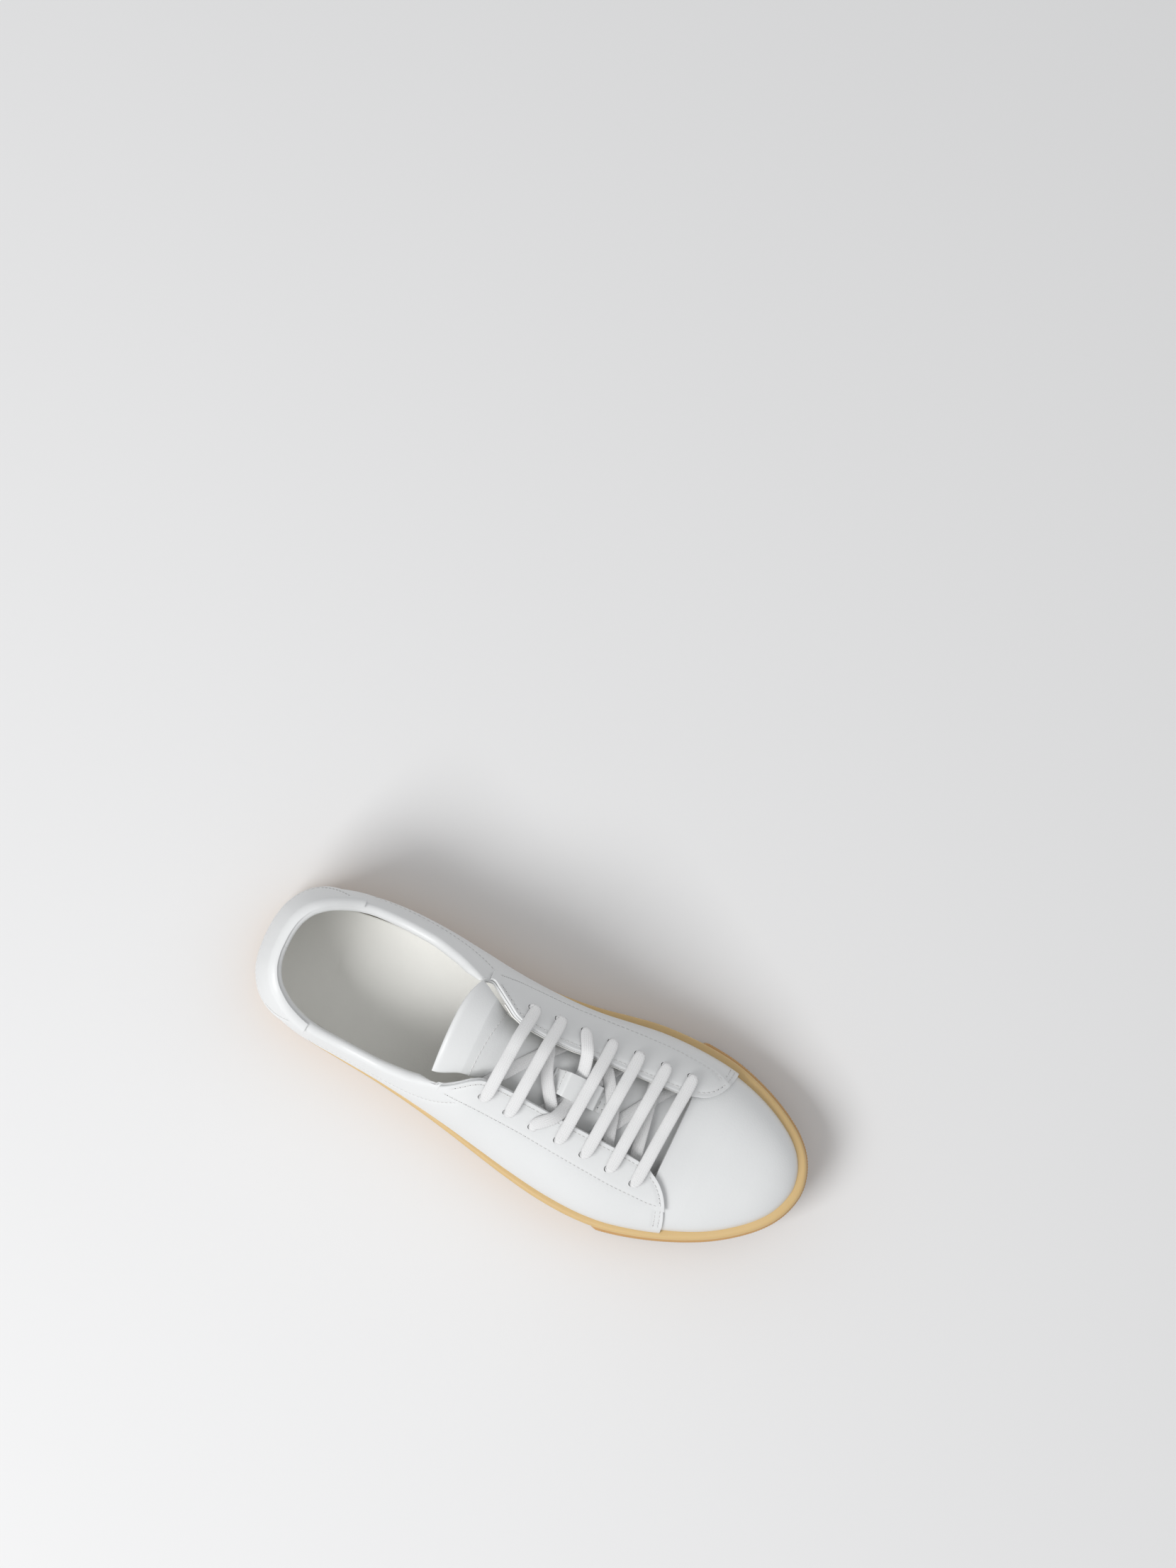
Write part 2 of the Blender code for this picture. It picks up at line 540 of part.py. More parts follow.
w0, w1 = float(w_at(-1, 262 * GX)), float(w_at(1, 262 * GX)) - 1.0
pw = np.linspace(w0, w1, 13)[:, None]
pt = np.linspace(0.04, 0.62, 6)[None, :]
pw, pt = np.broadcast_arrays(pw, pt)
sheet("toe_puff", skin(pw, pt, np.full(pw.shape, -LEATHER - GAP)), PUFF, STIFF)

# ---- quarters: from the back seam to the vamp, collar leather rolled inwards -------------
SEAM = 0.2


def seam_w(side, off):
    return W_HEEL + side * off / (300 * 2.4)


def front_line(side, n=9):
    """Front edge of a quarter in (w, t), from the sole up to the throat corner."""
    pts = np.array(front[side][::-1])
    w = w_at(side, pts[:, 0])
    t = t_at_y(side, w, pts[:, 1])
    foot_w = float(w_at(side, FRONT_FOOT_X[side] * GX))
    return [(foot_w, 0.0)] + list(zip(w, t))


def quarter_net(side, nc=30, nr=8):
    edge = front_line(side)
    w_end, t_end = edge[-1]
    w_start = seam_w(side, SEAM)
    cw = np.linspace(w_start, w_end, 60)
    top = list(zip(cw, top_t(side, cw)))
    top[-1] = (w_end, t_end)
    bottom = [(w_start, 0.0), (edge[0][0], 0.0)]
    left = [(w_start, 0.0), (w_start, top[0][1])]
    return coons(bottom, top, left, edge, nc, nr)


def rolled(net, d, radius, turn=180.0, drop=ROLL_DROP, steps=4):
    """The net's outer face; above the collar line its rows roll over the padding."""
    nc, nr = net.shape[:2]
    w, t = net[..., 0], net[..., 1]
    extra = steps + (1 if drop else 0)
    tip = w[:, -1], t[:, -1]
    k = 1 - ramp(surface(*tip)[..., 0], 96 * GX, 112 * GX)
    low = np.clip(below(*tip, np.full(nc, 4.0)) / t[:, -1], 0, 1)
    flat, curl = [], []
    for j in range(nr):
        squeeze = 1 - (1 - low) * (1 - k) * ramp(j / (nr - 1), 0, 1)
        curl.append(skin(w[:, j], t[:, j] * squeeze, np.full(nc, d)))
        flat.append(curl[-1])
    for j in range(1, extra + 1):
        flat.append(skin(w[:, -1], t[:, -1] * (low + (1 - low) * j / extra), np.full(nc, d)))
    top, n = surface(*tip), outward(*tip)
    up = top - surface(w[:, -1], t[:, -1] - 0.02)
    up -= n * np.sum(up * n, -1)[:, None]
    up /= np.linalg.norm(up, axis=1)[:, None]
    centre = Q_OUT - ROLL_R
    for a in np.radians(np.linspace(0, turn, steps + 1)[1:]):
        curl.append(top + n * (centre + radius * math.cos(a)) + up * (radius * math.sin(a)))
    if drop:
        curl.append(top + n * (centre - radius) - up * drop)
    k = k[:, None, None]
    return np.stack(flat, 1) * (1 - k) + np.stack(curl, 1) * k


nets = {}
for side, tag in ((-1, "lateral"), (1, "medial")):
    nets[side] = quarter_net(side)
    sheet("quarter_" + tag, rolled(nets[side], Q_OUT, ROLL_R), LEATHER, WHITE)

# ---- heel: outer tab, collar padding, stiff counter, linings -----------------------------
tab_w = np.linspace(float(w_at(-1, 44 * GX)), float(w_at(1, 44 * GX)), 31)


def heel_patch(side_w, low, nr):
    top = np.where(side_w < W_HEEL, top_t(-1, side_w), top_t(1, side_w))
    return np.stack([np.broadcast_to(side_w[:, None], (len(side_w), nr)),
                     low[:, None] + (top - low)[:, None] * np.linspace(0, 1, nr)[None]], -1)


def tab_low(w):
    return solve_t(w, lambda p: p[..., 2] - tab_foot(p[..., 0]))


top_now = np.where(tab_w < W_HEEL, top_t(-1, tab_w), top_t(1, tab_w))
low_now = tab_low(tab_w)
inside = low_now < top_now - 0.006
tab_w = np.linspace(tab_w[inside][0], tab_w[inside][-1], 19)
tab_net = heel_patch(tab_w, tab_low(tab_w), 4)
tab = rolled(tab_net, Q_OUT + TAB_LIFT, ROLL_R + TAB_LIFT, turn=80, drop=0, steps=3)
sheet("heel_tab", tab, OVERLAY, WHITE)

foam_w = np.linspace(float(w_at(-1, 94 * GX)), float(w_at(1, 94 * GX)), 39)
lo = t_at_z(foam_w, np.full(len(foam_w), 57.5 * GZ))
hi = np.where(foam_w < W_HEEL, top_t(-1, foam_w), top_t(1, foam_w)) - 0.004
tt = lo[:, None] + (hi - lo)[:, None] * np.linspace(0, 1, 4)[None]
ww = np.broadcast_to(foam_w[:, None], tt.shape)
sheet("collar_foam", skin(ww, tt, np.full(tt.shape, FOAM_OUT)), PADDING, FOAM)

counter_w = np.linspace(float(w_at(-1, 78 * GX)), float(w_at(1, 78 * GX)), 29)
lo = np.full(len(counter_w), 0.01)
reach = np.abs(np.linspace(-1, 1, len(counter_w)))
hi = t_at_z(counter_w, (56.5 - 24 * ramp(reach, 0.45, 1.0)) * GZ)
tt = lo[:, None] + (hi - lo)[:, None] * np.linspace(0, 1, 4)[None]
ww = np.broadcast_to(counter_w[:, None], tt.shape)
sheet("heel_counter", skin(ww, tt, np.full(tt.shape, FOAM_OUT - 0.05)), PADDING - 0.2, STIFF)

def lining(name, w_from, w_to, n, nr=5, roll_gap=0.35):
    w = np.linspace(w_from, w_to, n)
    top = np.where(np.mod(w, 1) < W_HEEL, top_t(-1, w), top_t(1, w))
    x = along(foot_loop, w)[:, 0]
    hi = below(w, top, ROLL_DROP + roll_gap + 0.6 + (16 - ROLL_DROP) * ramp(x, 104 * GX, 116 * GX))
    tt = hi[:, None] * np.linspace(0, 1, nr)[None]
    ww = np.broadcast_to(w[:, None], tt.shape)
    sheet(name, skin(ww, tt, np.full(tt.shape, L_OUT)), LINING, CREAM)


heel_l, heel_m = float(w_at(-1, 90 * GX)), float(w_at(1, 90 * GX))
one = GAP / 720
lining("heel_lining", heel_l, heel_m, 33)
lining("quarter_lining_lateral", float(w_at(-1, 209 * GX)), heel_l - one, 16)
lining("quarter_lining_medial", heel_m + one, float(w_at(1, 209 * GX)), 16)


# ---- eyestays and their tapes -------------------------------------------------------------
def stay_net(side, nc, nr):
    """Net between the throat line and the outer stitched edge of an eyestay."""
    fl = front_line(side)
    corner = fl[-1]
    outer_x = [p[0] * GX for p in (STAY_LATERAL if side < 0 else STAY_MEDIAL)]
    ow = w_at(side, np.array(outer_x))
    ot = t_at_y(side, ow, stay_y[side](np.array(outer_x)))
    bottom = list(zip(ow, ot))
    xs = np.linspace(outer_x[0], (front[side][0][0]), 40)
    tw = w_at(side, xs)
    top = list(zip(tw, top_t(side, tw)))
    top[-1] = corner
    end = bottom[-1]
    right = [end] + [q for q in fl if q[1] > end[1] + 0.01]
    left = [bottom[0], top[0]]
    return coons(bottom, top, left, right, nc, nr)


for side, tag in ((-1, "lateral"), (1, "medial")):
    net = stay_net(side, 20, 5)
    w, t = net[..., 0], net[..., 1]
    sheet("eyestay_" + tag, skin(w, t, np.full(w.shape, STAY_OUT)), OVERLAY, WHITE)
    # strip of tape behind the holes
    xs = np.linspace(121 * GX, 218.6 * GX, 18)
    tw = w_at(side, xs)
    t_hi = top_t(side, tw) - 0.006
    t_lo = below(tw, t_hi, 14.0)
    tt = t_lo[:, None] + (t_hi - t_lo)[:, None] * np.linspace(0, 1, 4)[None]
    ww = np.broadcast_to(tw[:, None], tt.shape)
    sheet("eyestay_tape_" + tag, skin(ww, tt, np.full(tt.shape, Q_IN - GAP - 0.2)), TAPE, CREAM)

# ---- tongue: cover, padding, lining; its top end is a flap that folds --------------------
HINGE_X = 119.0 * GX
FOLD_Z = 100.2 * GZ


def tongue_start(d):
    """Where a layer d off the surface must start so that it ends square at the fold."""
    x = HINGE_X + 0.5
    for _ in range(8):
        x += HINGE_X + 0.5 - float(np.ravel(crown_point(x, crown_y(x), d))[0])
    return x


def tongue_sheet(name, x_end, spread, d, thickness, mat, nc=16, nr=7, trim=0.0):
    """A layer of the tongue between its fold and its seam under the vamp."""
    cols = []
    for x in np.linspace(tongue_start(d - thickness) + trim, x_end * GX, nc):
        y = np.linspace(body_l(x) + spread, body_m(x) - spread, nr)
        cols.append(crown_point(np.full(nr, x), y, np.full(nr, d)))
    return sheet(name, np.array(cols), thickness, mat)


def body_l(x):
    return throat_y[-1](x) - 7.0 * GY


def body_m(x):
    return throat_y[1](x) + 7.0 * GY


def flap_sheet(name, trim, lift, thickness, mat, nc=7, nr=9):
    """A layer of the tongue's top end, arched over the ankle, with its corners rounded."""
    v = np.linspace(-1, 1, nr)
    end_x = (101.0 + 1.4 * v ** 2 + np.where(v > 0, 3.6 * v ** 3, 0)) * GX + trim
    start = HINGE_X - 0.5 - trim * 0.3
    crest = curve([(100 * GX, 106.6 * GZ), (110 * GX, 103.4 * GZ), (119 * GX, FOLD_Z)])
    cols = []
    for u in np.linspace(0, 1, nc):
        x = start + (end_x - start) * u
        y = v * ((19.6 + 5.4 * ramp(u, 0, 1)) * GY - trim)
        z = crest(x) - 8.0 * np.abs(y / (25.0 * GY)) ** 2.2 + lift
        cols.append(np.stack([x, y - 0.8 * GY, z], -1))
    return sheet(name, np.array(cols), thickness, mat)


tongue_sheet("tongue_cover", 232, 0.0, T_TOP, TONGUE_T, WHITE)
FOAM_DROP = TONGUE_T + GAP + 0.1
LINING_DROP = FOAM_DROP + TONGUE_PAD + GAP + 0.1
tongue_sheet("tongue_foam", 226, 2.0, T_TOP - FOAM_DROP, TONGUE_PAD, FOAM, nc=14, nr=6, trim=1.5)
tongue_sheet("tongue_lining", 232, 0.0, T_TOP - LINING_DROP, LINING, CREAM, nc=12, nr=6)
flap_sheet("tongue_top_cover", 0.0, 0.0, TONGUE_T, WHITE)
flap_sheet("tongue_top_foam", 1.2, -FOAM_DROP, TONGUE_PAD - GAP, FOAM, nc=6, nr=7)
flap_sheet("tongue_top_lining", 0.0, -LINING_DROP - 0.2, LINING, CREAM)

# lace keeper: a strap stitched at both ends, standing up over the lace
rise = KEPT + LACE_T / 2 + 0.7 - T_TOP - GAP
kx = np.linspace(160 * GX, 190.5 * GX, 15)
lift = GAP + rise * ramp(kx, 161 * GX, 165.2 * GX) * (1 - ramp(kx, 182 * GX, 186.5 * GX))
strap = []
for x, h in zip(kx, lift):
    y = np.linspace(-10.2, 2.4, 3) * GY
    strap.append(crown_point(np.full(3, x), y, np.full(3, T_TOP + h + KEEPER_T)))
sheet("lace_keeper", np.array(strap), KEEPER_T, WHITE)

# ---- lace holes punched through eyestay, quarter and tape ---------------------------------
hole_at, hole_dir = {}, {}
bm = bmesh.new()
for side in (-1, 1):
    for k, (x, y) in enumerate(holes[side]):
        w = w_at(side, np.array([x]))
        t = t_at_y(side, w, np.array([y]))
        p, n = surface(w, t)[0], outward(w, t)[0]
        hole_at[side, k], hole_dir[side, k] = p, n
        place = Matrix.Translation((p + n) * 0.001) @ Vector(n).to_track_quat('Z', 'X').to_matrix().to_4x4()
        bmesh.ops.create_cone(bm, cap_ends=True, segments=10, radius1=EYELET_D / 2000, radius2=EYELET_D / 2000,
                              depth=0.008, matrix=place)
mesh = bpy.data.meshes.new("eyelet_punch")
bm.to_mesh(mesh)
bm.free()
punch = bpy.data.objects.new("eyelet_punch", mesh)
tools.objects.link(punch)
punch.hide_render = True
punch.display_type = 'WIRE'
for tag in ("lateral", "medial"):
    for name in ("eyestay_", "quarter_", "eyestay_tape_"):
        cut = made[name + tag].modifiers.new("lace_holes", 'BOOLEAN')
        cut.operation, cut.solver, cut.object = 'DIFFERENCE', 'EXACT', punch

# ---- lace: straight bars outside, alternating diagonals inside, both ends tucked in ---------
UNDER = {0: UNDER_0, 1: UNDER_1}
FORWARD = np.array([1.0, 0, 0])


def hermite(points, steps):
    """Catmull-Rom samples through the points."""
    p = np.array(points, float)
    a = np.vstack([2 * p[0] - p[1], p, 2 * p[-1] - p[-2]])
    out = []
    for i in range(1, len(a) - 2):
        for u in np.arange(steps) / steps:
            p0, p1, p2, p3 = a[i - 1:i + 3]
            out.append(0.5 * (2 * p1 + (p2 - p0) * u + (2 * p0 - 5 * p1 + 4 * p2 - p3) * u ** 2
                              + (3 * p1 - p0 - 3 * p2 + p3) * u ** 3))
    return np.array(out + [p[-1]])


def hole_point(side, k, d, across=0.0):
    """A point on a hole's own axis, d off the surface, moved across towards the throat."""
    p, n = hole_at[side, k], hole_dir[side, k]
    q = np.array([0, -side, 0.0])
    q -= n * q.dot(n)
    q /= np.linalg.norm(q)
    return p + n * d + q * across


def over_instep(x, y, d):
    return np.array(crown_point(x, y, d)).reshape(3)


# each knot: how flat the lace lies (0 bunched .. 1 flat), where, which way its width runs
def ends_of_bar(side, k):
    return [(0.0, hole_point(side, k, 1.4), FORWARD), (0.0, hole_point(side, k, TOP_LIFT + 0.3, 0.1), FORWARD),
            (0.9, hole_point(side, k, TOP_LIFT + 0.6, 3.8), FORWARD)]


def bar(k):
    """A bar over row k from the outer hole to the inner one; row 2 dips under the keeper."""
    a, b = hole_at[-1, k], hole_at[1, k]
    if k == 2:
        middle = [(164.5, -19.8, TOP_LIFT + 0.1), (169.5, -14.3, -0.1), (171, -10.4, KEPT), (171, -4, KEPT - 0.15),
                  (171, 2.8, KEPT), (170, 6.8, -0.1), (166, 12.4, TOP_LIFT + 0.1)]
        middle = [(1.0, over_instep(x * GX, y * GY, d), FORWARD) for x, y, d in middle]
    else:
        middle = []
        for f in (0.3, 0.5, 0.7):
            m = a * (1 - f) + b * f
            middle.append((1.0, over_instep(m[0], m[1], TOP_LIFT + 0.2 - 0.8 * (1 - abs(2 * f - 1))), FORWARD))
    return ends_of_bar(-1, k) + middle + ends_of_bar(1, k)[::-1]


def under(k_from, k_to, layer):
    """A diagonal passing inside from an inner hole to an outer hole of another row."""
    a, b = hole_at[1, k_from], hole_at[-1, k_to]
    way = np.cross(b - a, [0, 0, 1.0])
    way *= math.copysign(1, way[0]) / np.linalg.norm(way)
    d = UNDER[layer]
    middle = []
    for f in (0.24, 0.5, 0.76):
        m = a * (1 - f) + b * f
        aside = {1: -3.5, 3: 4.2, 4: 2.4}.get(k_from, 0.0) * (1 - abs(2 * f - 1))
        middle.append((1.0, over_instep(m[0] + aside, m[1], d), way))
    return [(0.0, hole_point(1, k_from, -1.3), FORWARD), (0.3, hole_point(1, k_from, d, 1.2), FORWARD)] + middle \
        + [(0.3, hole_point(-1, k_to, d, 1.2), FORWARD), (0.0, hole_point(-1, k_to, -1.3), FORWARD)]


def tail(side, k):
    """The end of the lace tucked down inside, clear of the tongue."""
    pts = [(0.0, hole_point(side, k, -1.3), FORWARD)]
    w = w_at(side, hole_at[side, k][:1])
    t = t_at_y(side, w, hole_at[side, k][1:2])
    for down, d in ((3.0, -3.4), (8.0, -5.6), (13.0, -6.2)):
        at = below(w, t, np.array([down]))
        pts.append((0.2, skin(w, at, np.array([d]))[0], FORWARD))
    return pts


route = tail(-1, 1)[::-1]
for first, then, layer in ((1, 3, 0), (3, 5, 0), (5, 6, 0), (6, 4, 1), (4, 2, 1), (2, 0, 1)):
    route += bar(first) + under(first, then, layer)
route += bar(0) + tail(1, 0)
path = hermite([p for _, p, _ in route], 2)
ways = hermite([n for _, _, n in route], 2)
flat = hermite([[f] for f, _, _ in route], 2)[:, 0].clip(0, 1)
loops = []
for i, p in enumerate(path):
    d = path[min(i + 1, len(path) - 1)] - path[max(i - 1, 0)]
    d /= np.linalg.norm(d)
    side_v = ways[i] - d * ways[i].dot(d)
    side_v /= np.linalg.norm(side_v)
    n = np.cross(side_v, d)
    a = (LACE_ROUND + (LACE_W - LACE_ROUND) * flat[i]) / 2
    b = (LACE_ROUND * 0.8 + (LACE_T - LACE_ROUND * 0.8) * flat[i]) / 2
    loops.append(np.array([p + side_v * a * math.cos(q) + n * b * math.sin(q)
                           for q in np.arange(6) * math.pi / 3]))
rings("lace", loops, COTTON)

for tag, end, before in (("aglet_a", path[0], path[1]), ("aglet_b", path[-1], path[-2])):
    away = Vector(end - before).normalized()
    bm = bmesh.new()
    bmesh.ops.create_cone(bm, cap_ends=True, segments=10, radius1=0.0013, radius2=0.00115, depth=0.009)
    mesh = bpy.data.meshes.new(tag)
    bm.to_mesh(mesh)
    bm.free()
    tip = add(tag, mesh, PLASTIC)
    tip.location = Vector(end) * 0.001 + away * (0.0045 + GAP * 0.001)
    tip.rotation_euler = away.to_track_quat('Z', 'X').to_euler()

# ---- stand the whole shoe over the origin, the tongue's flap hung on its fold line ----------
sole = np.array([p for ring in cup for p in ring])
low, high = sole.min(0), sole.max(0)
shift = Vector((-(low[0] + high[0]) / 2000, -(low[1] + high[1]) / 2000, -low[2] / 1000))
fold = bpy.data.objects.new("tongue_fold", None)
fold.location = Vector((HINGE_X * 0.001, 0, FOLD_Z * 0.001)) + shift
shoe.objects.link(fold)
bpy.context.view_layer.update()
for obj in list(made.values()) + [punch]:
    obj.location += shift
    if obj.name.startswith("tongue_top"):
        obj.data.transform(Matrix.Translation(shift - fold.location))
        obj.location = (0, 0, 0)
        obj.parent = fold
print("fold axis at", fold.location)
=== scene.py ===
# %% [markdown]
# # A leather court shoe, dressed over its CAD frame
# The frame holds every piece at its true size. Here each visible piece is made again with a
# fine mesh and a real finish: smooth white leather, a gum rubber cup sole, a padded tongue
# and a flat cotton lace. All lines below are in millimetres, measured from the back of the
# heel (x), the middle line (y) and the floor (z), and are moved into the frame at the end.

# %% Load the frame
import json
import math

import bmesh
import bpy
import numpy as np
from mathutils.bvhtree import BVHTree
from mathutils import Matrix, Vector
from mathutils.kdtree import KDTree

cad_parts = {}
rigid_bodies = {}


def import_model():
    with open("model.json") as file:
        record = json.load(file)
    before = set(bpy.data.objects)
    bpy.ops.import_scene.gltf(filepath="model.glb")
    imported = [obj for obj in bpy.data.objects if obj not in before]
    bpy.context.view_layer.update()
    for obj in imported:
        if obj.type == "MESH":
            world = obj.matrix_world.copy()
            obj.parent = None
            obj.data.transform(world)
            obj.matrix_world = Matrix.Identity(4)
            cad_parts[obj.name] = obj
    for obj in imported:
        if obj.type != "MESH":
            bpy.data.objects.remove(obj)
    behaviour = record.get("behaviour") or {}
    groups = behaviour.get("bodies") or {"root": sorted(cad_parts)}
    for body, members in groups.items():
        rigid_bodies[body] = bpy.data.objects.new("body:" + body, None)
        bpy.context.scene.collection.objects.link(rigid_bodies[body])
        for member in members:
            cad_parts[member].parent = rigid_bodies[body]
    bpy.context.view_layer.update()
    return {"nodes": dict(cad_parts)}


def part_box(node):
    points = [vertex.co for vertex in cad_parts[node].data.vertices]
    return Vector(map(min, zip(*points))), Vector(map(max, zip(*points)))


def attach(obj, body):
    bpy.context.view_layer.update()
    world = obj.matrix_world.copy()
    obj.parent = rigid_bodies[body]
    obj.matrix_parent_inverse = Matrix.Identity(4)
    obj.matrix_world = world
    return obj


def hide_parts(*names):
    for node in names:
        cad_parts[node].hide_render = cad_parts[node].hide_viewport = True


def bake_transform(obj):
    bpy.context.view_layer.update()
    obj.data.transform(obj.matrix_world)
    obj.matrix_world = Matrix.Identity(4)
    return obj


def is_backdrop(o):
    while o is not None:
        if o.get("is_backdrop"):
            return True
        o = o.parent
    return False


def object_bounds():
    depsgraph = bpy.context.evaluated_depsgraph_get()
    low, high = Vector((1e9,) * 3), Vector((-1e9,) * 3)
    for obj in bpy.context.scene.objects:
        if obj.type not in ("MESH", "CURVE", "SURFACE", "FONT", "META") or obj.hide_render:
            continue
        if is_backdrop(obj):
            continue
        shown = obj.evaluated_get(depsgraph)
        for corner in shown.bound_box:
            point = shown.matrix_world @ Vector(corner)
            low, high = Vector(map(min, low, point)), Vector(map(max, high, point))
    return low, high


for old in list(bpy.data.objects):
    bpy.data.objects.remove(old, do_unlink=True)
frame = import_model()

# %% [markdown]
# ## The scale of the shoe
# The three overall sizes come from the sole in the frame. The lines of the pattern were drawn
# for one base size, so each is stretched by these three shares.

# %% Overall sizes from the frame
sole_low, sole_high = (np.array(c) * 1000 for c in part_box("cupsole"))
SOLE_BASE = (300.55, 108.81, 36.0)
GX, GY, GZ = (sole_high - sole_low) / SOLE_BASE
print("shares of the base size", round(GX, 4), round(GY, 4), round(GZ, 4))

# %% [markdown]
# ## Thicknesses and gaps
# A shoe is a stack of thin layers. Each layer's outer face is given by how far it stands off
# one shared surface, the outer face of the vamp leather.

# %% Layers in millimetres
LEATHER = 1.3
LINING = 0.9
OVERLAY = 1.2
GAP = 0.3
PADDING = 1.9
OUTSOLE = 4.5
LIP_DEPTH = 7.0
BUMPER_TOE = 1.3
BUMPER_HEEL = 2.0
EYELET_D = 4.6
LACE_W = 6.4
LACE_T = 1.9
KEEPER_T = 1.0
TAPE = 0.8
PUFF = 0.9
TONGUE_T = 1.0
TONGUE_PAD = 2.2
ROLL_DROP = 4.0

Q_IN = 0.4
Q_OUT = Q_IN + LEATHER
STAY_OUT = Q_OUT + GAP + 0.1 + OVERLAY
TAB_LIFT = GAP + 0.1 + OVERLAY
FOAM_OUT = Q_IN - GAP - 0.15
FOAM_IN = FOAM_OUT - PADDING
LINING_OUT = FOAM_IN - GAP - 0.15
VAMP_LINING = -(LEATHER + GAP + PUFF + GAP + 0.1)
FOOTBED = VAMP_LINING - LINING - 2 * GAP
ROLL_R = (Q_OUT - FOAM_IN + 0.25 + LEATHER) / 2
LACE_ROUND = EYELET_D - 1.5
TOP_LIFT = STAY_OUT + 0.9 + LACE_T / 2
UNDER_0 = Q_IN - GAP - TAPE - 1.2 - LACE_T / 2
UNDER_1 = UNDER_0 - LACE_T - 0.4
TONGUE_TOP = UNDER_1 - LACE_T / 2 - 1.0
KEPT = -2.25

# %% [markdown]
# ## The pattern lines
# A shoemaker's last has no flat faces, so its form is given by a few lines: the edge of the
# sole from above, the heights of the sole and of the crown from the side, and how far the
# walls swell. Each line has only the points that its shape needs.

# %% Pattern lines (x with y or z)
LATERAL_EDGE = [(0.6, 0), (0.9, -8), (3.2, -17.5), (9.5, -27.3), (20, -34.4), (30, -37.7), (40, -39.6),
                (60, -41.7), (80, -43.8), (100, -46.8), (120, -50.6), (140, -55.0), (160, -59.3),
                (180, -62.5), (200, -63.6), (215, -62.4), (230, -59.0), (245, -54.0), (258, -48.4),
                (268, -43.0), (277.5, -36.4), (286.5, -28.4), (292.5, -20.8), (296.4, -12.5)]
MEDIAL_EDGE = [(298.2, -3.5), (297.4, 4), (295.2, 10.5), (291.5, 16.6), (285.5, 22.8), (277.2, 28.6),
               (267, 34.0), (256, 38.4), (243, 42.2), (228, 44.2), (212, 44.7), (198, 43.9),
               (184, 41.6), (170, 38.9), (155, 36.9), (140, 36.1), (120, 36.7), (100, 38.4),
               (80, 40.0), (60, 40.6), (42, 39.6), (30, 37.6), (18, 33.5), (9, 27.0), (3.4, 18.0), (1.1, 8.6)]
BOTTOM_Z = [(0, 0), (185, 0), (205, 0.5), (225, 2.1), (245, 4.6), (262, 7.4), (280, 11.0), (298, 15.2)]
LIP_Z = [(0, 24), (20, 24), (50, 25), (80, 25.6), (120, 25), (160, 24), (200, 24.8), (240, 28), (270, 31.6),
         (298, 36)]
WALL_INSET = [(0, 5.0), (60, 5.2), (120, 5.6), (180, 6.0), (220, 5.8), (240, 5.4), (262, 4.6), (298, 4.2)]
CROWN_Z = [(0, 133), (40, 131), (60, 121), (85, 114.5), (100, 112.5), (110, 109.5), (122, 105), (136, 97),
           (160, 84.5), (180, 76), (200, 67.5), (215, 61.5), (228, 57), (240, 54), (252, 52.3),
           (270, 51.2), (285, 51.6), (298, 53)]
CROWN_Y = [(0, 0), (40, 0), (110, -1.8), (150, -3), (215, -4), (246, -5), (298, -5)]
BELLY_TOP_Z = [(0, 92), (40, 88), (60, 84), (80, 88), (100, 100), (122, 104), (136, 97), (160, 84.5),
               (200, 67.5), (240, 54), (298, 53)]
BELLY_LATERAL = [(0, 3.4), (40, 3.0), (60, 2.7), (100, 2.6), (140, 1.8), (180, 1.0), (240, 0.5), (298, 0.3)]
BELLY_MEDIAL = [(0, 3.4), (40, 4.2), (60, 4.8), (100, 5.2), (140, 4.8), (170, 2.8), (200, 0.9), (240, 0.4),
                (298, 0.3)]
TOPLINE_Z = [(6, 88.3), (11, 88.5), (17, 87.4), (25, 83.8), (37, 77.6), (47, 74.6), (60, 73.0), (75, 74.4),
             (90, 81.5), (100, 88.5), (110, 96.5), (120, 101)]
THROAT_LATERAL = [(106, -30), (110, -28.2), (116, -24.4), (121, -20.6), (126, -18.2), (135, -17.6),
                  (150, -18.5), (170, -20), (190, -21), (212, -22.2), (221, -24), (228, -27.6)]
THROAT_MEDIAL = [(106, 27.5), (110, 25.2), (116, 21.6), (122, 17.8), (128, 14.2), (135, 12.5), (150, 11.6),
                 (160, 11.8), (170, 12.8), (190, 14), (212, 15.2), (222, 16), (230, 18)]
FRONT_LATERAL = [(221, -24), (228, -27.8), (234, -33.6), (238.4, -41), (240.6, -46.5)]
FRONT_MEDIAL = [(225, 16.4), (232, 18.8), (238, 23.6), (242, 30), (244, 35.6)]
FRONT_FOOT_X = {-1: 242.2, 1: 245.2}
STAY_LATERAL = [(109, -31.6), (125, -32.6), (150, -34.6), (170, -36.8), (190, -38.8), (210, -40.2),
                (226, -40.3), (237.2, -38.6)]
STAY_MEDIAL = [(109, 28.4), (125, 29.6), (150, 29.8), (170, 30.8), (190, 32.4), (210, 33.4), (228, 32.6),
               (241, 28.6)]
HOLES_LATERAL = [(128.6, -24.8), (143, -26.8), (157.4, -28.2), (171.8, -29), (186.4, -30.2), (201, -31.4),
                 (215.6, -32.8)]
HOLES_MEDIAL = [(132.4, 19.8), (147, 20.4), (161.6, 21), (176.2, 21.6), (190.8, 22.2), (205.4, 23),
                (220, 23.8)]
HEEL_TAB_FOOT = [(0, 59.0), (10, 58.5), (17, 59.5), (22, 64), (27, 69.5), (32.5, 76.0)]
SIDE_SEAM = [(57, 27), (50, 38), (44.5, 50), (42.6, 54.5), (44, 57), (50, 57.4), (60, 57.5), (80, 60),
             (91, 64.5), (100, 70), (112, 78.5), (128, 92)]
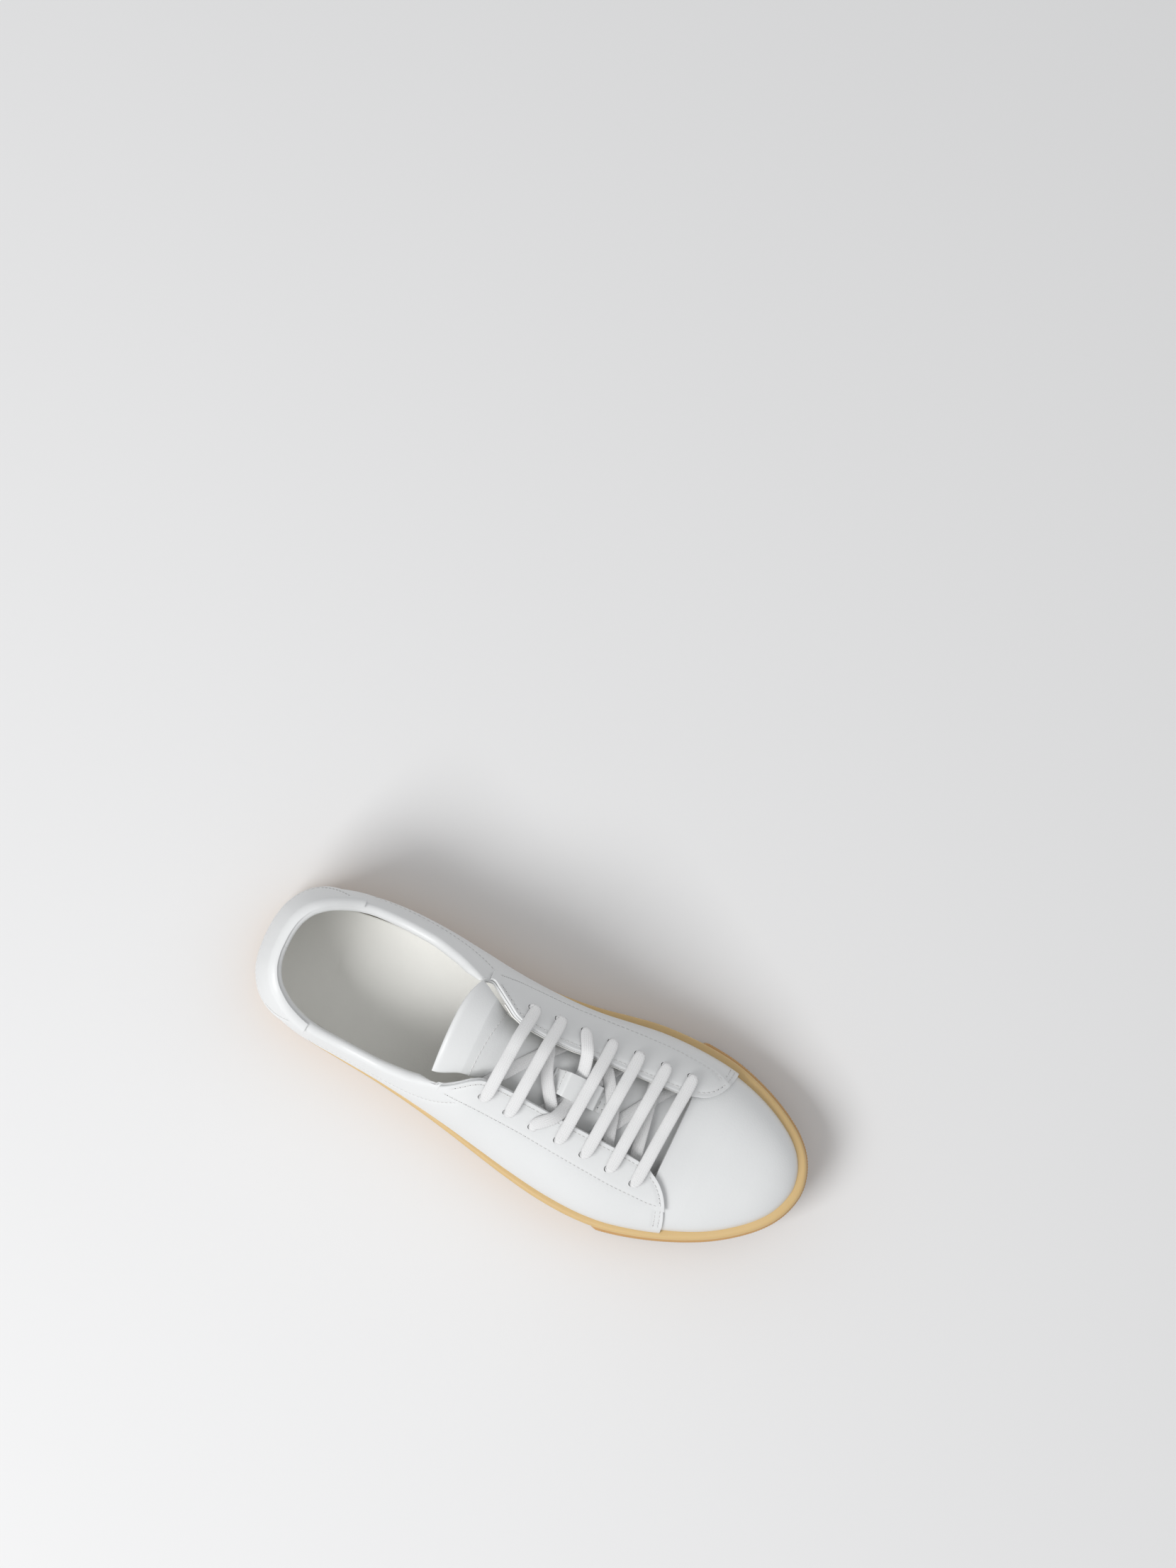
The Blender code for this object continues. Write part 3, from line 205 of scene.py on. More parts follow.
HEEL_CENTRE, TOE_CENTRE = 40.0, 246.0
CROWN_POWER, SIDE_POWER = 2.4, 2.4


def grade(points, plan):
    """Stretch a line of the base size: plan lines are (x, y), the others (x, z)."""
    return [(x * GX, v * (GY if plan else GZ)) for x, v in points]


def curve(points):
    """A smooth line through the points that never overshoots them."""
    px, pv = (np.array(c, float) for c in zip(*points))
    h = np.diff(px)
    d = np.diff(pv) / h
    m = np.zeros(len(px))
    same = d[:-1] * d[1:] > 0
    w1, w2 = 2 * h[1:] + h[:-1], h[1:] + 2 * h[:-1]
    m[1:-1][same] = ((w1 + w2)[same]) / (w1[same] / d[:-1][same] + w2[same] / d[1:][same])
    m[0], m[-1] = d[0], d[-1]

    def value(x):
        x = np.clip(np.asarray(x, float), px[0], px[-1])
        k = np.clip(np.searchsorted(px, x) - 1, 0, len(h) - 1)
        t = (x - px[k]) / h[k]
        return (pv[k] * (1 + 2 * t) * (1 - t) ** 2 + pv[k + 1] * t * t * (3 - 2 * t)
                + h[k] * (m[k] * t * (1 - t) ** 2 - m[k + 1] * t * t * (1 - t)))
    return value


def ramp(x, a, b):
    """0 before a, 1 after b, smooth between."""
    t = np.clip((np.asarray(x, float) - a) / (b - a), 0, 1)
    return t * t * (3 - 2 * t)


bottom_z = curve(grade(BOTTOM_Z, False))
lip_z = curve(grade(LIP_Z, False))
inset = curve([(x * GX, v) for x, v in WALL_INSET])
crown_z = curve(grade(CROWN_Z, False))
crown_y = curve(grade(CROWN_Y, True))
belly_top = curve(grade(BELLY_TOP_Z, False))
belly = {-1: curve(grade(BELLY_LATERAL, True)), 1: curve(grade(BELLY_MEDIAL, True))}
topline_z = curve(grade(TOPLINE_Z, False))
throat_y = {-1: curve(grade(THROAT_LATERAL, True)), 1: curve(grade(THROAT_MEDIAL, True))}
stay_y = {-1: curve(grade(STAY_LATERAL, True)), 1: curve(grade(STAY_MEDIAL, True))}
tab_foot = curve(grade(HEEL_TAB_FOOT, False))
holes = {-1: grade(HOLES_LATERAL, True), 1: grade(HOLES_MEDIAL, True)}
front = {-1: grade(FRONT_LATERAL, True), 1: grade(FRONT_MEDIAL, True)}
KH, KT = HEEL_CENTRE * GX, TOE_CENTRE * GX
print("pattern lines ready")


# %% [markdown]
# ## The edge of the sole as a loop
# Every upright section of the shoe stands on one closed loop, read by w, which runs from 0
# at the tip of the toe, along the outer side, round the heel and back to 1.

# %% Sole loop
def closed_loop(points, n=2880):
    """An even closed curve through the points, with each stretch weighted by its length."""
    p = np.array(points, float)
    a = np.vstack([p[-3:], p, p[:4]])
    step = np.sqrt(np.linalg.norm(np.diff(a, axis=0), axis=1))
    t = np.concatenate([[0], np.cumsum(step)])
    out = []
    for i in range(3, 3 + len(p)):
        t0, t1, t2, t3 = t[i - 1:i + 3]
        p0, p1, p2, p3 = a[i - 1:i + 3]
        m1 = (p1 - p0) / (t1 - t0) - (p2 - p0) / (t2 - t0) + (p2 - p1) / (t2 - t1)
        m2 = (p2 - p1) / (t2 - t1) - (p3 - p1) / (t3 - t1) + (p3 - p2) / (t3 - t2)
        u = np.linspace(0, 1, 60, endpoint=False)[:, None]
        h = t2 - t1
        out.append(p1 * (1 + 2 * u) * (1 - u) ** 2 + p2 * u * u * (3 - 2 * u)
                   + h * (m1 * u * (1 - u) ** 2 - m2 * u * u * (1 - u)))
    q = np.vstack(out)
    q = np.vstack([q, q[:1]])
    s = np.concatenate([[0], np.cumsum(np.linalg.norm(np.diff(q, axis=0), axis=1))])
    even = np.linspace(0, s[-1], n + 1)
    return np.column_stack([np.interp(even, s, q[:, k]) for k in (0, 1)])


loop = closed_loop(grade(LATERAL_EDGE + MEDIAL_EDGE, True))[:-1]
loop = loop[np.r_[np.argmax(loop[:, 0]):len(loop), 0:np.argmax(loop[:, 0])]]
loop = loop[::-1] if loop[len(loop) // 4, 1] > 0 else loop
N_LOOP = len(loop)
tangent = np.roll(loop, -4, 0) - np.roll(loop, 4, 0)
tangent /= np.linalg.norm(tangent, axis=1)[:, None]
normal2 = np.column_stack([-tangent[:, 1], tangent[:, 0]])
if normal2[0, 0] < 0:
    normal2 = -normal2
W_HEEL = float(np.argmin(loop[:, 0])) / N_LOOP
LOOP_LENGTH = float(np.sum(np.linalg.norm(np.diff(np.vstack([loop, loop[:1]]), axis=0), axis=1)))
print("the sole's edge is", round(LOOP_LENGTH), "mm round")


def along(table, w):
    """Read a table made along the loop at any w."""
    f = np.mod(np.asarray(w, float), 1.0) * N_LOOP
    i = np.floor(f).astype(int) % N_LOOP
    k = (f - np.floor(f))[..., None]
    return table[i] * (1 - k) + table[(i + 1) % N_LOOP] * k


def sole_edge(w, inwards=0.0):
    """Plan position on the sole's edge, moved inwards by some millimetres."""
    return along(loop, w) - along(normal2, w) * np.asarray(inwards, float)[..., None]


foot_loop = loop - normal2 * inset(loop[:, 0])[:, None]
half = int(round(W_HEEL * N_LOOP))
SIDE_TABLE = {-1: (foot_loop[half:0:-1, 0], np.arange(half, 0, -1) / N_LOOP),
              1: (foot_loop[half:, 0], np.arange(half, N_LOOP) / N_LOOP)}


def w_at(side, x):
    """The loop position whose section crosses the given x."""
    xs, ws = SIDE_TABLE[side]
    keep = np.maximum.accumulate(xs) == xs
    return np.interp(x, xs[keep], ws[keep])


# %% [markdown]
# ## The surface of the upper
# `surface(w, t)` is the outer face of the leather: t runs from 0 inside the cup sole to 1 on
# the crown. Writing the whole upper as one surface lets every layer be that surface moved in
# or out, so that the layers follow each other without fitting.

# %% Surface functions
def surface(w, t):
    w, t = np.broadcast_arrays(np.asarray(w, float), np.asarray(t, float))
    f = along(foot_loop, w)
    side = np.where(np.mod(w, 1.0) < W_HEEL, -1, 1)
    kx = np.clip(f[..., 0], KH, KT)
    ky = crown_y(kx)
    phi = 0.5 * math.pi * np.clip(t, 0, 1) ** (SIDE_POWER / 2)
    r = np.maximum(np.cos(phi), 0) ** (2 / CROWN_POWER)
    dx, dy = f[..., 0] - kx, f[..., 1] - ky
    x = kx + dx * r
    foot = lip_z(f[..., 0]) - LIP_DEPTH
    z = foot + (crown_z(x) - foot) * np.sin(phi) ** (2 / SIDE_POWER)
    b = np.where(side < 0, belly[-1](f[..., 0]), belly[1](f[..., 0]))
    rise = np.clip((z - foot) / (belly_top(x) - foot), 0, 1)
    reach = np.maximum(np.hypot(dx, dy), 1e-6)
    swell = b * np.sin(math.pi * rise) * (1 - t ** 6)
    return np.stack([x + dx / reach * swell, ky + dy * r + dy / reach * swell, z], -1)


def outward(w, t):
    """Unit normal of the upper's surface."""
    w, t = np.broadcast_arrays(np.asarray(w, float), np.asarray(t, float))
    e = 2e-3
    lo, hi = np.maximum(t - e, 0), np.minimum(t + e, 1)
    n = np.cross(surface(w + 1e-3, t) - surface(w - 1e-3, t), surface(w, hi) - surface(w, lo))
    x = surface(w, t)[..., 0]
    up = np.stack([-(crown_z(x + 1) - crown_z(x - 1)) / 2, np.zeros_like(x), np.ones_like(x)], -1)
    n = np.where((t > 0.999)[..., None], up, n)
    n /= np.maximum(np.linalg.norm(n, axis=-1), 1e-12)[..., None]
    f = along(foot_loop, w)
    kx = np.clip(f[..., 0], KH, KT)
    side = n[..., 0] * (f[..., 0] - kx) + n[..., 1] * (f[..., 1] - crown_y(kx)) + n[..., 2] * 8
    return n * np.where(side < 0, -1, 1)[..., None]


def skin(w, t, d):
    """The surface moved outwards by d millimetres."""
    return surface(w, t) + outward(w, t) * np.asarray(d, float)[..., None]


def solve_t(w, test):
    """The t on each section where test(points) changes from negative to positive."""
    lo, hi = np.zeros_like(w), np.ones_like(w)
    for _ in range(30):
        mid = (lo + hi) / 2
        above = test(surface(w, mid)) > 0
        hi, lo = np.where(above, mid, hi), np.where(above, lo, mid)
    return (lo + hi) / 2


def t_at_z(w, z):
    return solve_t(w, lambda p: p[..., 2] - z)


def t_at_y(side, w, y):
    return solve_t(w, lambda p: side * (y - p[..., 1]))


def top_t(side, w):
    """The free edge of a quarter: collar line behind, throat line in front."""
    w = np.asarray(w, float)
    collar = solve_t(w, lambda p: p[..., 2] - topline_z(p[..., 0]))
    x = along(foot_loop, w)[..., 0]
    throat = solve_t(w, lambda p: side * (throat_y[side](p[..., 0]) - p[..., 1]))
    k = ramp(x, 104 * GX, 112 * GX)
    return collar * (1 - k) + throat * k


def below(w, t, drop):
    """The t lying drop millimetres down the surface from t."""
    step = np.linalg.norm(surface(w, t) - surface(w, t - 0.02), axis=-1) / 0.02
    t1 = t - drop / step
    step = np.linalg.norm(surface(w, t) - surface(w, t1), axis=-1) / np.maximum(t - t1, 1e-6)
    return t - drop / step


def crown_point(x, y, d=0.0):
    """A point over the instep given from above, with its lift d off the surface."""
    x, y = np.broadcast_arrays(np.asarray(x, float), np.asarray(y, float))

    def height(px, py):
        out = np.zeros_like(px)
        for side in (-1, 1):
            w = w_at(side, px)
            t = solve_t(w, lambda p: side * (py - p[..., 1]))
            out = np.where(side * (py - crown_y(px)) >= 0, surface(w, t)[..., 2], out)
        return out

    z = height(x, y)
    e = 0.6
    zx = (height(x + e, y) - height(x - e, y)) / (2 * e)
    zy = (height(x, y + e) - height(x, y - e)) / (2 * e)
    n = np.stack([-zx, -zy, np.ones_like(x)], -1)
    n /= np.linalg.norm(n, axis=-1)[..., None]
    return np.stack([x, y, z], -1) + n * np.asarray(d, float)[..., None]


print("surface ready; crown over the ball at", np.round(surface(0.0, 1.0), 1))


# %% [markdown]
# ## From points to pieces
# A piece of leather is an open net of points on its outer face, to which Solidify gives its
# thickness inwards. The cut edges get a small round from Bevel, because a knife-sharp edge
# never catches the light as real leather does. `ORIGIN` is where the back of the heel, the
# middle line and the floor lie in the frame.

# %% Place in the frame
def wall_ring(w, z, inwards, swell=0.0):
    """A ring of the sole's wall at height z, moved inwards from its edge."""
    p = sole_edge(w, np.asarray(inwards) - swell)
    return np.column_stack([p, np.broadcast_to(z, (len(w),))])


def bands(w):
    """How far the toe and heel bumpers stand out at each w."""
    x = sole_edge(w)[:, 0]
    on_outer_side = np.mod(w, 1.0) < W_HEEL
    toe = np.where(on_outer_side, ramp(x, 211.2 * GX, 211.9 * GX), ramp(x, 223.2 * GX, 223.9 * GX))
    heel = 1 - ramp(x, 5.4 * GX, 6.1 * GX)
    return toe * BUMPER_TOE, heel * BUMPER_HEEL


all_w = np.arange(72) / 72
widest = wall_ring(all_w, 0.0, 0.2, sum(bands(all_w)))
ORIGIN = np.array([*(sole_low[:2] + sole_high[:2]) / 2, 0.0])
ORIGIN[:2] -= (widest[:, :2].min(0) + widest[:, :2].max(0)) / 2
print("the heel's back lies at", np.round(ORIGIN, 2), "mm in the frame")


def to_frame(points):
    """Shoe millimetres to frame metres."""
    return (np.asarray(points, float) + ORIGIN) * 0.001


# %% Mesh helpers
def new_piece(name, points, faces, mats, uv=None, face_mat=None, values=None):
    """A mesh object from points in shoe millimetres; uv and values are given for each point."""
    mesh = bpy.data.meshes.new(name)
    mesh.from_pydata(to_frame(points).tolist(), [], [tuple(f) for f in faces])
    for mat in mats if isinstance(mats, (list, tuple)) else [mats]:
        mesh.materials.append(mat)
    if face_mat is not None:
        mesh.polygons.foreach_set("material_index", np.asarray(face_mat, np.int32))
    corner = np.zeros(len(mesh.loops), np.int32)
    mesh.loops.foreach_get("vertex_index", corner)
    if uv is not None:
        layer = mesh.uv_layers.new(name="pattern")
        layer.data.foreach_set("uv", np.asarray(uv, np.float32)[corner].ravel())
    for key, value in (values or {}).items():
        mesh.attributes.new(key, "FLOAT", "POINT").data.foreach_set("value", np.asarray(value, np.float32))
    obj = bpy.data.objects.new(name, mesh)
    bpy.context.scene.collection.objects.link(obj)
    return obj


def net_faces(nc, nr, wrap=False):
    """Quads of a net whose points are listed column by column."""
    i = np.arange(nc if wrap else nc - 1)[:, None]
    j = np.arange(nr - 1)[None]
    a, b = i * nr + j, ((i + 1) % nc) * nr + j
    return np.stack([a, b, b + 1, a + 1], -1).reshape(-1, 4)


def smooth(obj, angle=40):
    obj.data.shade_smooth()
    obj.data.set_sharp_from_angle(angle=math.radians(angle))


def baked(obj):
    """Replace an object by its evaluated mesh, so that no modifier is left on it."""
    bpy.context.view_layer.update()
    mesh = bpy.data.meshes.new_from_object(obj.evaluated_get(bpy.context.evaluated_depsgraph_get()))
    mesh.name = obj.name
    obj.modifiers.clear()
    obj.data = mesh
    return obj


def closed_skin(obj):
    """Turn all faces outwards."""
    bm = bmesh.new()
    bm.from_mesh(obj.data)
    bmesh.ops.recalc_face_normals(bm, faces=bm.faces)
    bm.to_mesh(obj.data)
    bm.free()
    return obj


def leather_sheet(name, net, thickness, mat, edge=0.28, weld=False, values=None, even=True):
    """Cut leather: an open net on the outer face, made solid inwards, with its cut edges rounded."""
    nc, nr = net.shape[:2]
    obj = new_piece(name, net.reshape(-1, 3), net_faces(nc, nr), mat, values=values)
    bm = bmesh.new()
    bm.from_mesh(obj.data)
    if weld:
        bmesh.ops.remove_doubles(bm, verts=bm.verts, dist=2e-6)
    bmesh.ops.recalc_face_normals(bm, faces=bm.faces)
    bm.normal_update()
    bm.faces.ensure_lookup_table()
    middle = bm.faces[len(bm.faces) // 2]
    c = np.array(middle.calc_center_median()) * 1000 - ORIGIN
    axis = np.array([np.clip(c[0], KH, KT), crown_y(c[0]), 25.0])
    if np.dot(np.array(middle.normal), c - axis) < 0:
        bmesh.ops.reverse_faces(bm, faces=bm.faces)
    bm.to_mesh(obj.data)
    bm.free()
    solid = obj.modifiers.new("thickness", 'SOLIDIFY')
    solid.thickness, solid.offset, solid.use_even_offset = thickness * 0.001, -1, even
    solid.use_quality_normals = True
    round_edge = obj.modifiers.new("cut edge", 'BEVEL')
    round_edge.width, round_edge.segments = edge * 0.001, 2
    round_edge.limit_method, round_edge.angle_limit = 'ANGLE', math.radians(55)
    baked(obj)
    smooth(obj, 60)
    return obj


def report(obj):
    print(obj.name, len(obj.data.polygons), "faces")
    return obj


# %% [markdown]
# ## Finishes
# The leather, the lining and the rubber share two effects: a fine grain, and a slight
# variation of colour and gloss. Both are shader node groups, built once and placed in each
# material with its own values.

# %% Shader groups
def shader_group(name, inputs, outputs):
    """An empty shader group with float inputs (name, default) and typed outputs."""
    tree = bpy.data.node_groups.new(name, 'ShaderNodeTree')
    for label, value in inputs:
        kind = 'NodeSocketColor' if isinstance(value, tuple) else 'NodeSocketFloat'
        tree.interface.new_socket(label, in_out='INPUT', socket_type=kind).default_value = value
    for label, kind in outputs:
        tree.interface.new_socket(label, in_out='OUTPUT', socket_type=kind)
    return tree, tree.nodes.new('NodeGroupInput'), tree.nodes.new('NodeGroupOutput')


def math_node(tree, kind, a, b=None):
    node = tree.nodes.new('ShaderNodeMath')
    node.operation = kind
    for socket, value in zip(node.inputs, (a, b)):
        if value is None:
            continue
        if isinstance(value, (int, float)):
            socket.default_value = value
        else:
            tree.links.new(value, socket)
    return node.outputs[0]


def grain_group():
    """Pebbled hide: small cells with soft creases between them, over slow waves."""
    tree, given, out = shader_group(
        "hide grain", [("Cell size mm", 0.8), ("Depth", 1.0), ("Mottle", 0.03), ("Roughness", 0.45),
                       ("Colour", (0.8, 0.8, 0.8, 1.0))],
        [("Colour", 'NodeSocketColor'), ("Roughness", 'NodeSocketFloat'), ("Height", 'NodeSocketFloat')])
    link, new = tree.links.new, tree.nodes.new
    place = new('ShaderNodeTexCoord').outputs["Object"]
    per_metre = math_node(tree, 'DIVIDE', 1000.0, given.outputs["Cell size mm"])
    cells = new('ShaderNodeTexVoronoi')
    cells.feature = 'SMOOTH_F1'
    link(place, cells.inputs["Vector"])
    link(per_metre, cells.inputs["Scale"])
    fine = new('ShaderNodeTexNoise')
    link(place, fine.inputs["Vector"])
    link(math_node(tree, 'MULTIPLY', per_metre, 2.6), fine.inputs["Scale"])
    slow = new('ShaderNodeTexNoise')
    slow.inputs["Scale"].default_value, slow.inputs["Detail"].default_value = 38.0, 3.0
    link(place, slow.inputs["Vector"])
    height = math_node(tree, 'ADD', math_node(tree, 'MULTIPLY', cells.outputs["Distance"], -0.8),
                       math_node(tree, 'MULTIPLY', fine.outputs["Fac"], 0.55))
    link(math_node(tree, 'MULTIPLY', height, given.outputs["Depth"]), out.inputs["Height"])
    shade = math_node(tree, 'SUBTRACT', slow.outputs["Fac"], 0.5)
    shade = math_node(tree, 'ADD', 1.0, math_node(tree, 'MULTIPLY', shade, given.outputs["Mottle"]))
    tint = new('ShaderNodeMix')
    tint.data_type, tint.blend_type = 'RGBA', 'MULTIPLY'
    tint.inputs["Factor"].default_value = 1.0
    link(given.outputs["Colour"], tint.inputs[6])
    grey = new('ShaderNodeCombineColor')
    for channel in grey.inputs:
        link(shade, channel)
    link(grey.outputs[0], tint.inputs[7])
    link(tint.outputs[2], out.inputs["Colour"])
    gloss = math_node(tree, 'SUBTRACT', fine.outputs["Fac"], 0.5)
    gloss = math_node(tree, 'ADD', given.outputs["Roughness"], math_node(tree, 'MULTIPLY', gloss, 0.12))
    link(gloss, out.inputs["Roughness"])
    return tree


GRAIN = grain_group()
print("shader group made:", GRAIN.name)


# %% Leathers, thread and rubber
def finish_material(name, colour, cell, depth_mm, rough, mottle=0.04, coat=0.0, sheen=0.0, soft=0.0):
    """A Principled material with the grain group's colour, gloss and bump."""
    mat = bpy.data.materials.new(name)
    mat.use_nodes = True
    tree = mat.node_tree
    shader = tree.nodes["Principled BSDF"]
    group = tree.nodes.new('ShaderNodeGroup')
    group.node_tree = GRAIN
    group.inputs["Cell size mm"].default_value = cell
    group.inputs["Mottle"].default_value = mottle
    group.inputs["Roughness"].default_value = rough
    group.inputs["Colour"].default_value = (*colour, 1)
    bump = tree.nodes.new('ShaderNodeBump')
    bump.inputs["Distance"].default_value = depth_mm * 0.001
    bump.inputs["Strength"].default_value = 1.0
    tree.links.new(group.outputs["Height"], bump.inputs["Height"])
    tree.links.new(bump.outputs[0], shader.inputs["Normal"])
    tree.links.new(group.outputs["Colour"], shader.inputs["Base Color"])
    tree.links.new(group.outputs["Roughness"], shader.inputs["Roughness"])
    shader.inputs["Coat Weight"].default_value = coat
    shader.inputs["Coat Roughness"].default_value = 0.35
    shader.inputs["Sheen Weight"].default_value = sheen
    shader.inputs["Subsurface Weight"].default_value = soft
    shader.inputs["Subsurface Radius"].default_value = (1.0, 0.6, 0.3)
    shader.inputs["Subsurface Scale"].default_value = 0.002
    mat.diffuse_color = (*colour, 1)
    return mat


WHITE = finish_material("smooth white leather", (0.79, 0.80, 0.80), 0.85, 0.055, 0.42, 0.035, coat=0.12)
LINING_MAT = finish_material("lining leather", (0.86, 0.855, 0.825), 0.95, 0.05, 0.6, 0.05)
FOAM_MAT = finish_material("open cell foam", (0.72, 0.70, 0.60), 0.5, 0.12, 0.9, 0.08)
BOARD_MAT = finish_material("fibre board", (0.42, 0.32, 0.20), 0.4, 0.06, 0.9, 0.2)
FELT_MAT = finish_material("stiffening felt", (0.55, 0.53, 0.48), 0.4, 0.08, 0.9, 0.1)
THREAD = finish_material("white thread", (0.70, 0.70, 0.69), 0.25, 0.05, 0.75, 0.05)
SOLE_THREAD = finish_material("waxed sole thread", (0.80, 0.62, 0.33), 0.3, 0.05, 0.6, 0.05)
# near-black dots between the stitches: painted shade for the shadow inside each needle hole
NEEDLE_HOLE_SHADE = finish_material("needle hole painted shade", (0.10, 0.10, 0.105), 0.3, 0.02, 0.9, 0.02)
PLASTIC = finish_material("clear tip plastic", (0.80, 0.80, 0.79), 0.9, 0.005, 0.25, 0.01, coat=0.3)
print("plain finishes made")

# %% [markdown]
# ## Gum rubber
# Gum rubber is an amber rubber that lets a little light in. Its wall is darker, and the thin
# lip above the stitch is paler, so the mesh carries a value named lip, which mixes two colours.

# %% Rubber
GUM = finish_material("gum rubber", (0.57, 0.335, 0.130), 0.35, 0.03, 0.46, 0.10, soft=0.12)


def pale_lip(mat, colour):
    """Mix a second colour into the base by the mesh's lip value."""
    tree = mat.node_tree
    shader = tree.nodes["Principled BSDF"]
    body = shader.inputs["Base Color"].links[0].from_socket
    mark = tree.nodes.new('ShaderNodeAttribute')
    mark.attribute_name = "lip"
    mix = tree.nodes.new('ShaderNodeMix')
    mix.data_type = 'RGBA'
    mix.inputs[7].default_value = (*colour, 1)
    tree.links.new(mark.outputs["Fac"], mix.inputs["Factor"])
    tree.links.new(body, mix.inputs[6])
    tree.links.new(mix.outputs[2], shader.inputs["Base Color"])


pale_lip(GUM, (0.66, 0.465, 0.215))
print("gum rubber made")

# %% [markdown]
# ## Woven cotton
# The lace is a flat tube of cotton. Its fine ribs run along it, crossed by small slanted
# stitches, so its pattern follows the lace's own UV map: u across, v along, in millimetres.

# %% Cotton
def cotton_material():
    mat = bpy.data.materials.new("woven cotton lace")
    mat.use_nodes = True
    tree = mat.node_tree
    link, new = tree.links.new, tree.nodes.new
    shader = tree.nodes["Principled BSDF"]
    uv = new('ShaderNodeUVMap')
    uv.uv_map = "pattern"
    heights = []
    for turn, pitch, weight in ((32.0, 0.62, 0.5), (-32.0, 0.62, 0.5), (0.0, 0.75, 0.6)):
        turned = new('ShaderNodeMapping')
        turned.inputs["Rotation"].default_value = (0, 0, math.radians(turn))
        link(uv.outputs[0], turned.inputs["Vector"])
        wave = new('ShaderNodeTexWave')
        wave.bands_direction = 'X'
        wave.inputs["Scale"].default_value = 0.314 / pitch
        wave.inputs["Distortion"].default_value = 1.2
        wave.inputs["Detail"].default_value = 1.0
        wave.inputs["Detail Scale"].default_value = 2.0
        link(turned.outputs[0], wave.inputs["Vector"])
        heights.append(math_node(tree, 'MULTIPLY', wave.outputs["Fac"], weight))
    weave = math_node(tree, 'ADD', math_node(tree, 'ADD', heights[0], heights[1]), heights[2])
    fuzz = new('ShaderNodeTexNoise')
    fuzz.inputs["Scale"].default_value = 2600.0
    link(new('ShaderNodeTexCoord').outputs["Object"], fuzz.inputs["Vector"])
    height = math_node(tree, 'ADD', weave, math_node(tree, 'MULTIPLY', fuzz.outputs["Fac"], 0.5))
    bump = new('ShaderNodeBump')
    bump.inputs["Distance"].default_value = 0.00011
    link(height, bump.inputs["Height"])
    link(bump.outputs[0], shader.inputs["Normal"])
    # colour follows the weave's height: darker in its low grooves, which is painted shade, with some random tone
    # from the fuzz noise
    weave_shade_tone = new('ShaderNodeMapRange')
    weave_shade_tone.inputs["From Max"].default_value = 2.0
    weave_shade_tone.inputs["To Min"].default_value, weave_shade_tone.inputs["To Max"].default_value = 0.74, 0.86
    link(height, weave_shade_tone.inputs["Value"])
    tone = new('ShaderNodeCombineColor')
    for channel in tone.inputs:
        link(weave_shade_tone.outputs[0], channel)
    link(tone.outputs[0], shader.inputs["Base Color"])
    shader.inputs["Roughness"].default_value = 0.88
    shader.inputs["Sheen Weight"].default_value = 0.25
    return mat


COTTON = cotton_material()
print("cotton made")


# %% [markdown]
# ## Patterns on the (w, t) plane
# `filled` spreads a net evenly between four boundary lines, so that the columns follow the
# edges of a cut pattern piece. `hide_swell` is the small unevenness of real hide, always
# outwards, and the same for all layers, so that they stay apart.

# %% Nets
def filled(bottom, top, left, right, nc, nr):
    """Fill four boundary lines in the (w, t) plane with an even net."""
    def even(line, n):
        line = np.array(line, float)
        s = np.concatenate([[0], np.cumsum(np.linalg.norm(np.diff(line * [900, 90], axis=0), axis=1))])
        u = np.linspace(0, s[-1], n)
        return np.column_stack([np.interp(u, s, line[:, k]) for k in (0, 1)])
    b, t = even(bottom, nc), even(top, nc)
    le, ri = even(left, nr), even(right, nr)
    u = np.linspace(0, 1, nc)[:, None, None]
    v = np.linspace(0, 1, nr)[None, :, None]
    return ((1 - v) * b[:, None] + v * t[:, None] + (1 - u) * le[None] + u * ri[None]
            - (1 - u) * (1 - v) * b[0] - u * (1 - v) * b[-1] - (1 - u) * v * t[0] - u * v * t[-1])


def hide_swell(p):
    """Slow waves of 0 to 0.3 mm over the surface."""
    a = np.sin(p[..., 0] / 17 + 1.3 * np.sin(p[..., 1] / 23) + p[..., 2] / 29)
    b = np.sin(p[..., 1] / 11 - p[..., 0] / 37 + 1.1 * np.sin(p[..., 2] / 19 + 0.7))
    return 0.15 + 0.075 * (a + b)


def front_line(side):
    """Front edge of a quarter in (w, t), from the sole up to the throat corner."""
    pts = np.array(front[side][::-1])
    smooth_y = curve([(y, x) for x, y in sorted(front[side], key=lambda q: q[1])])
    ys = np.linspace(pts[0, 1], pts[-1, 1], 24)
    xs = smooth_y(ys)
    w = w_at(side, xs)
    t = t_at_y(side, w, ys)
    foot_w = float(w_at(side, FRONT_FOOT_X[side] * GX))
    return [(foot_w, 0.0)] + list(zip(w, t))


# %% [markdown]
# ## Seams
# A stitched seam pulls the leather down into a shallow groove. All seam lines are set out
# first, in the (w, t) plane, so that the leather can be pinched along them before it is made.

# %% Seam lines
def evenly(line, spacing=1.0):
    """(w, t) points of a line at even steps along the surface."""
    line = np.array(line, float)
    fine = np.column_stack([np.interp(np.linspace(0, len(line) - 1, 60 * len(line)),
                                      np.arange(len(line)), line[:, k]) for k in (0, 1)])
    p = surface(fine[:, 0], fine[:, 1])
    s = np.concatenate([[0], np.cumsum(np.linalg.norm(np.diff(p, axis=0), axis=1))])
    u = np.linspace(0, s[-1], max(2, int(s[-1] / spacing) + 1))
    return np.column_stack([np.interp(u, s, fine[:, k]) for k in (0, 1)])


def side_seam(side):
    """The bent seam that joins heel and middle quarter; it starts at the sole and ends at the throat."""
    line = curve_through([(x * 0.975 * GX, z * GZ) for x, z in SIDE_SEAM], 8)
    x, z = line[:, 0], line[:, 1]
    w = w_at(side, x)
    for _ in range(6):
        t = t_at_z(w, z)
        w = w + (w_at(side, x) - w_at(side, surface(w, t)[:, 0]))
    return np.column_stack([w, t_at_z(w, z)])


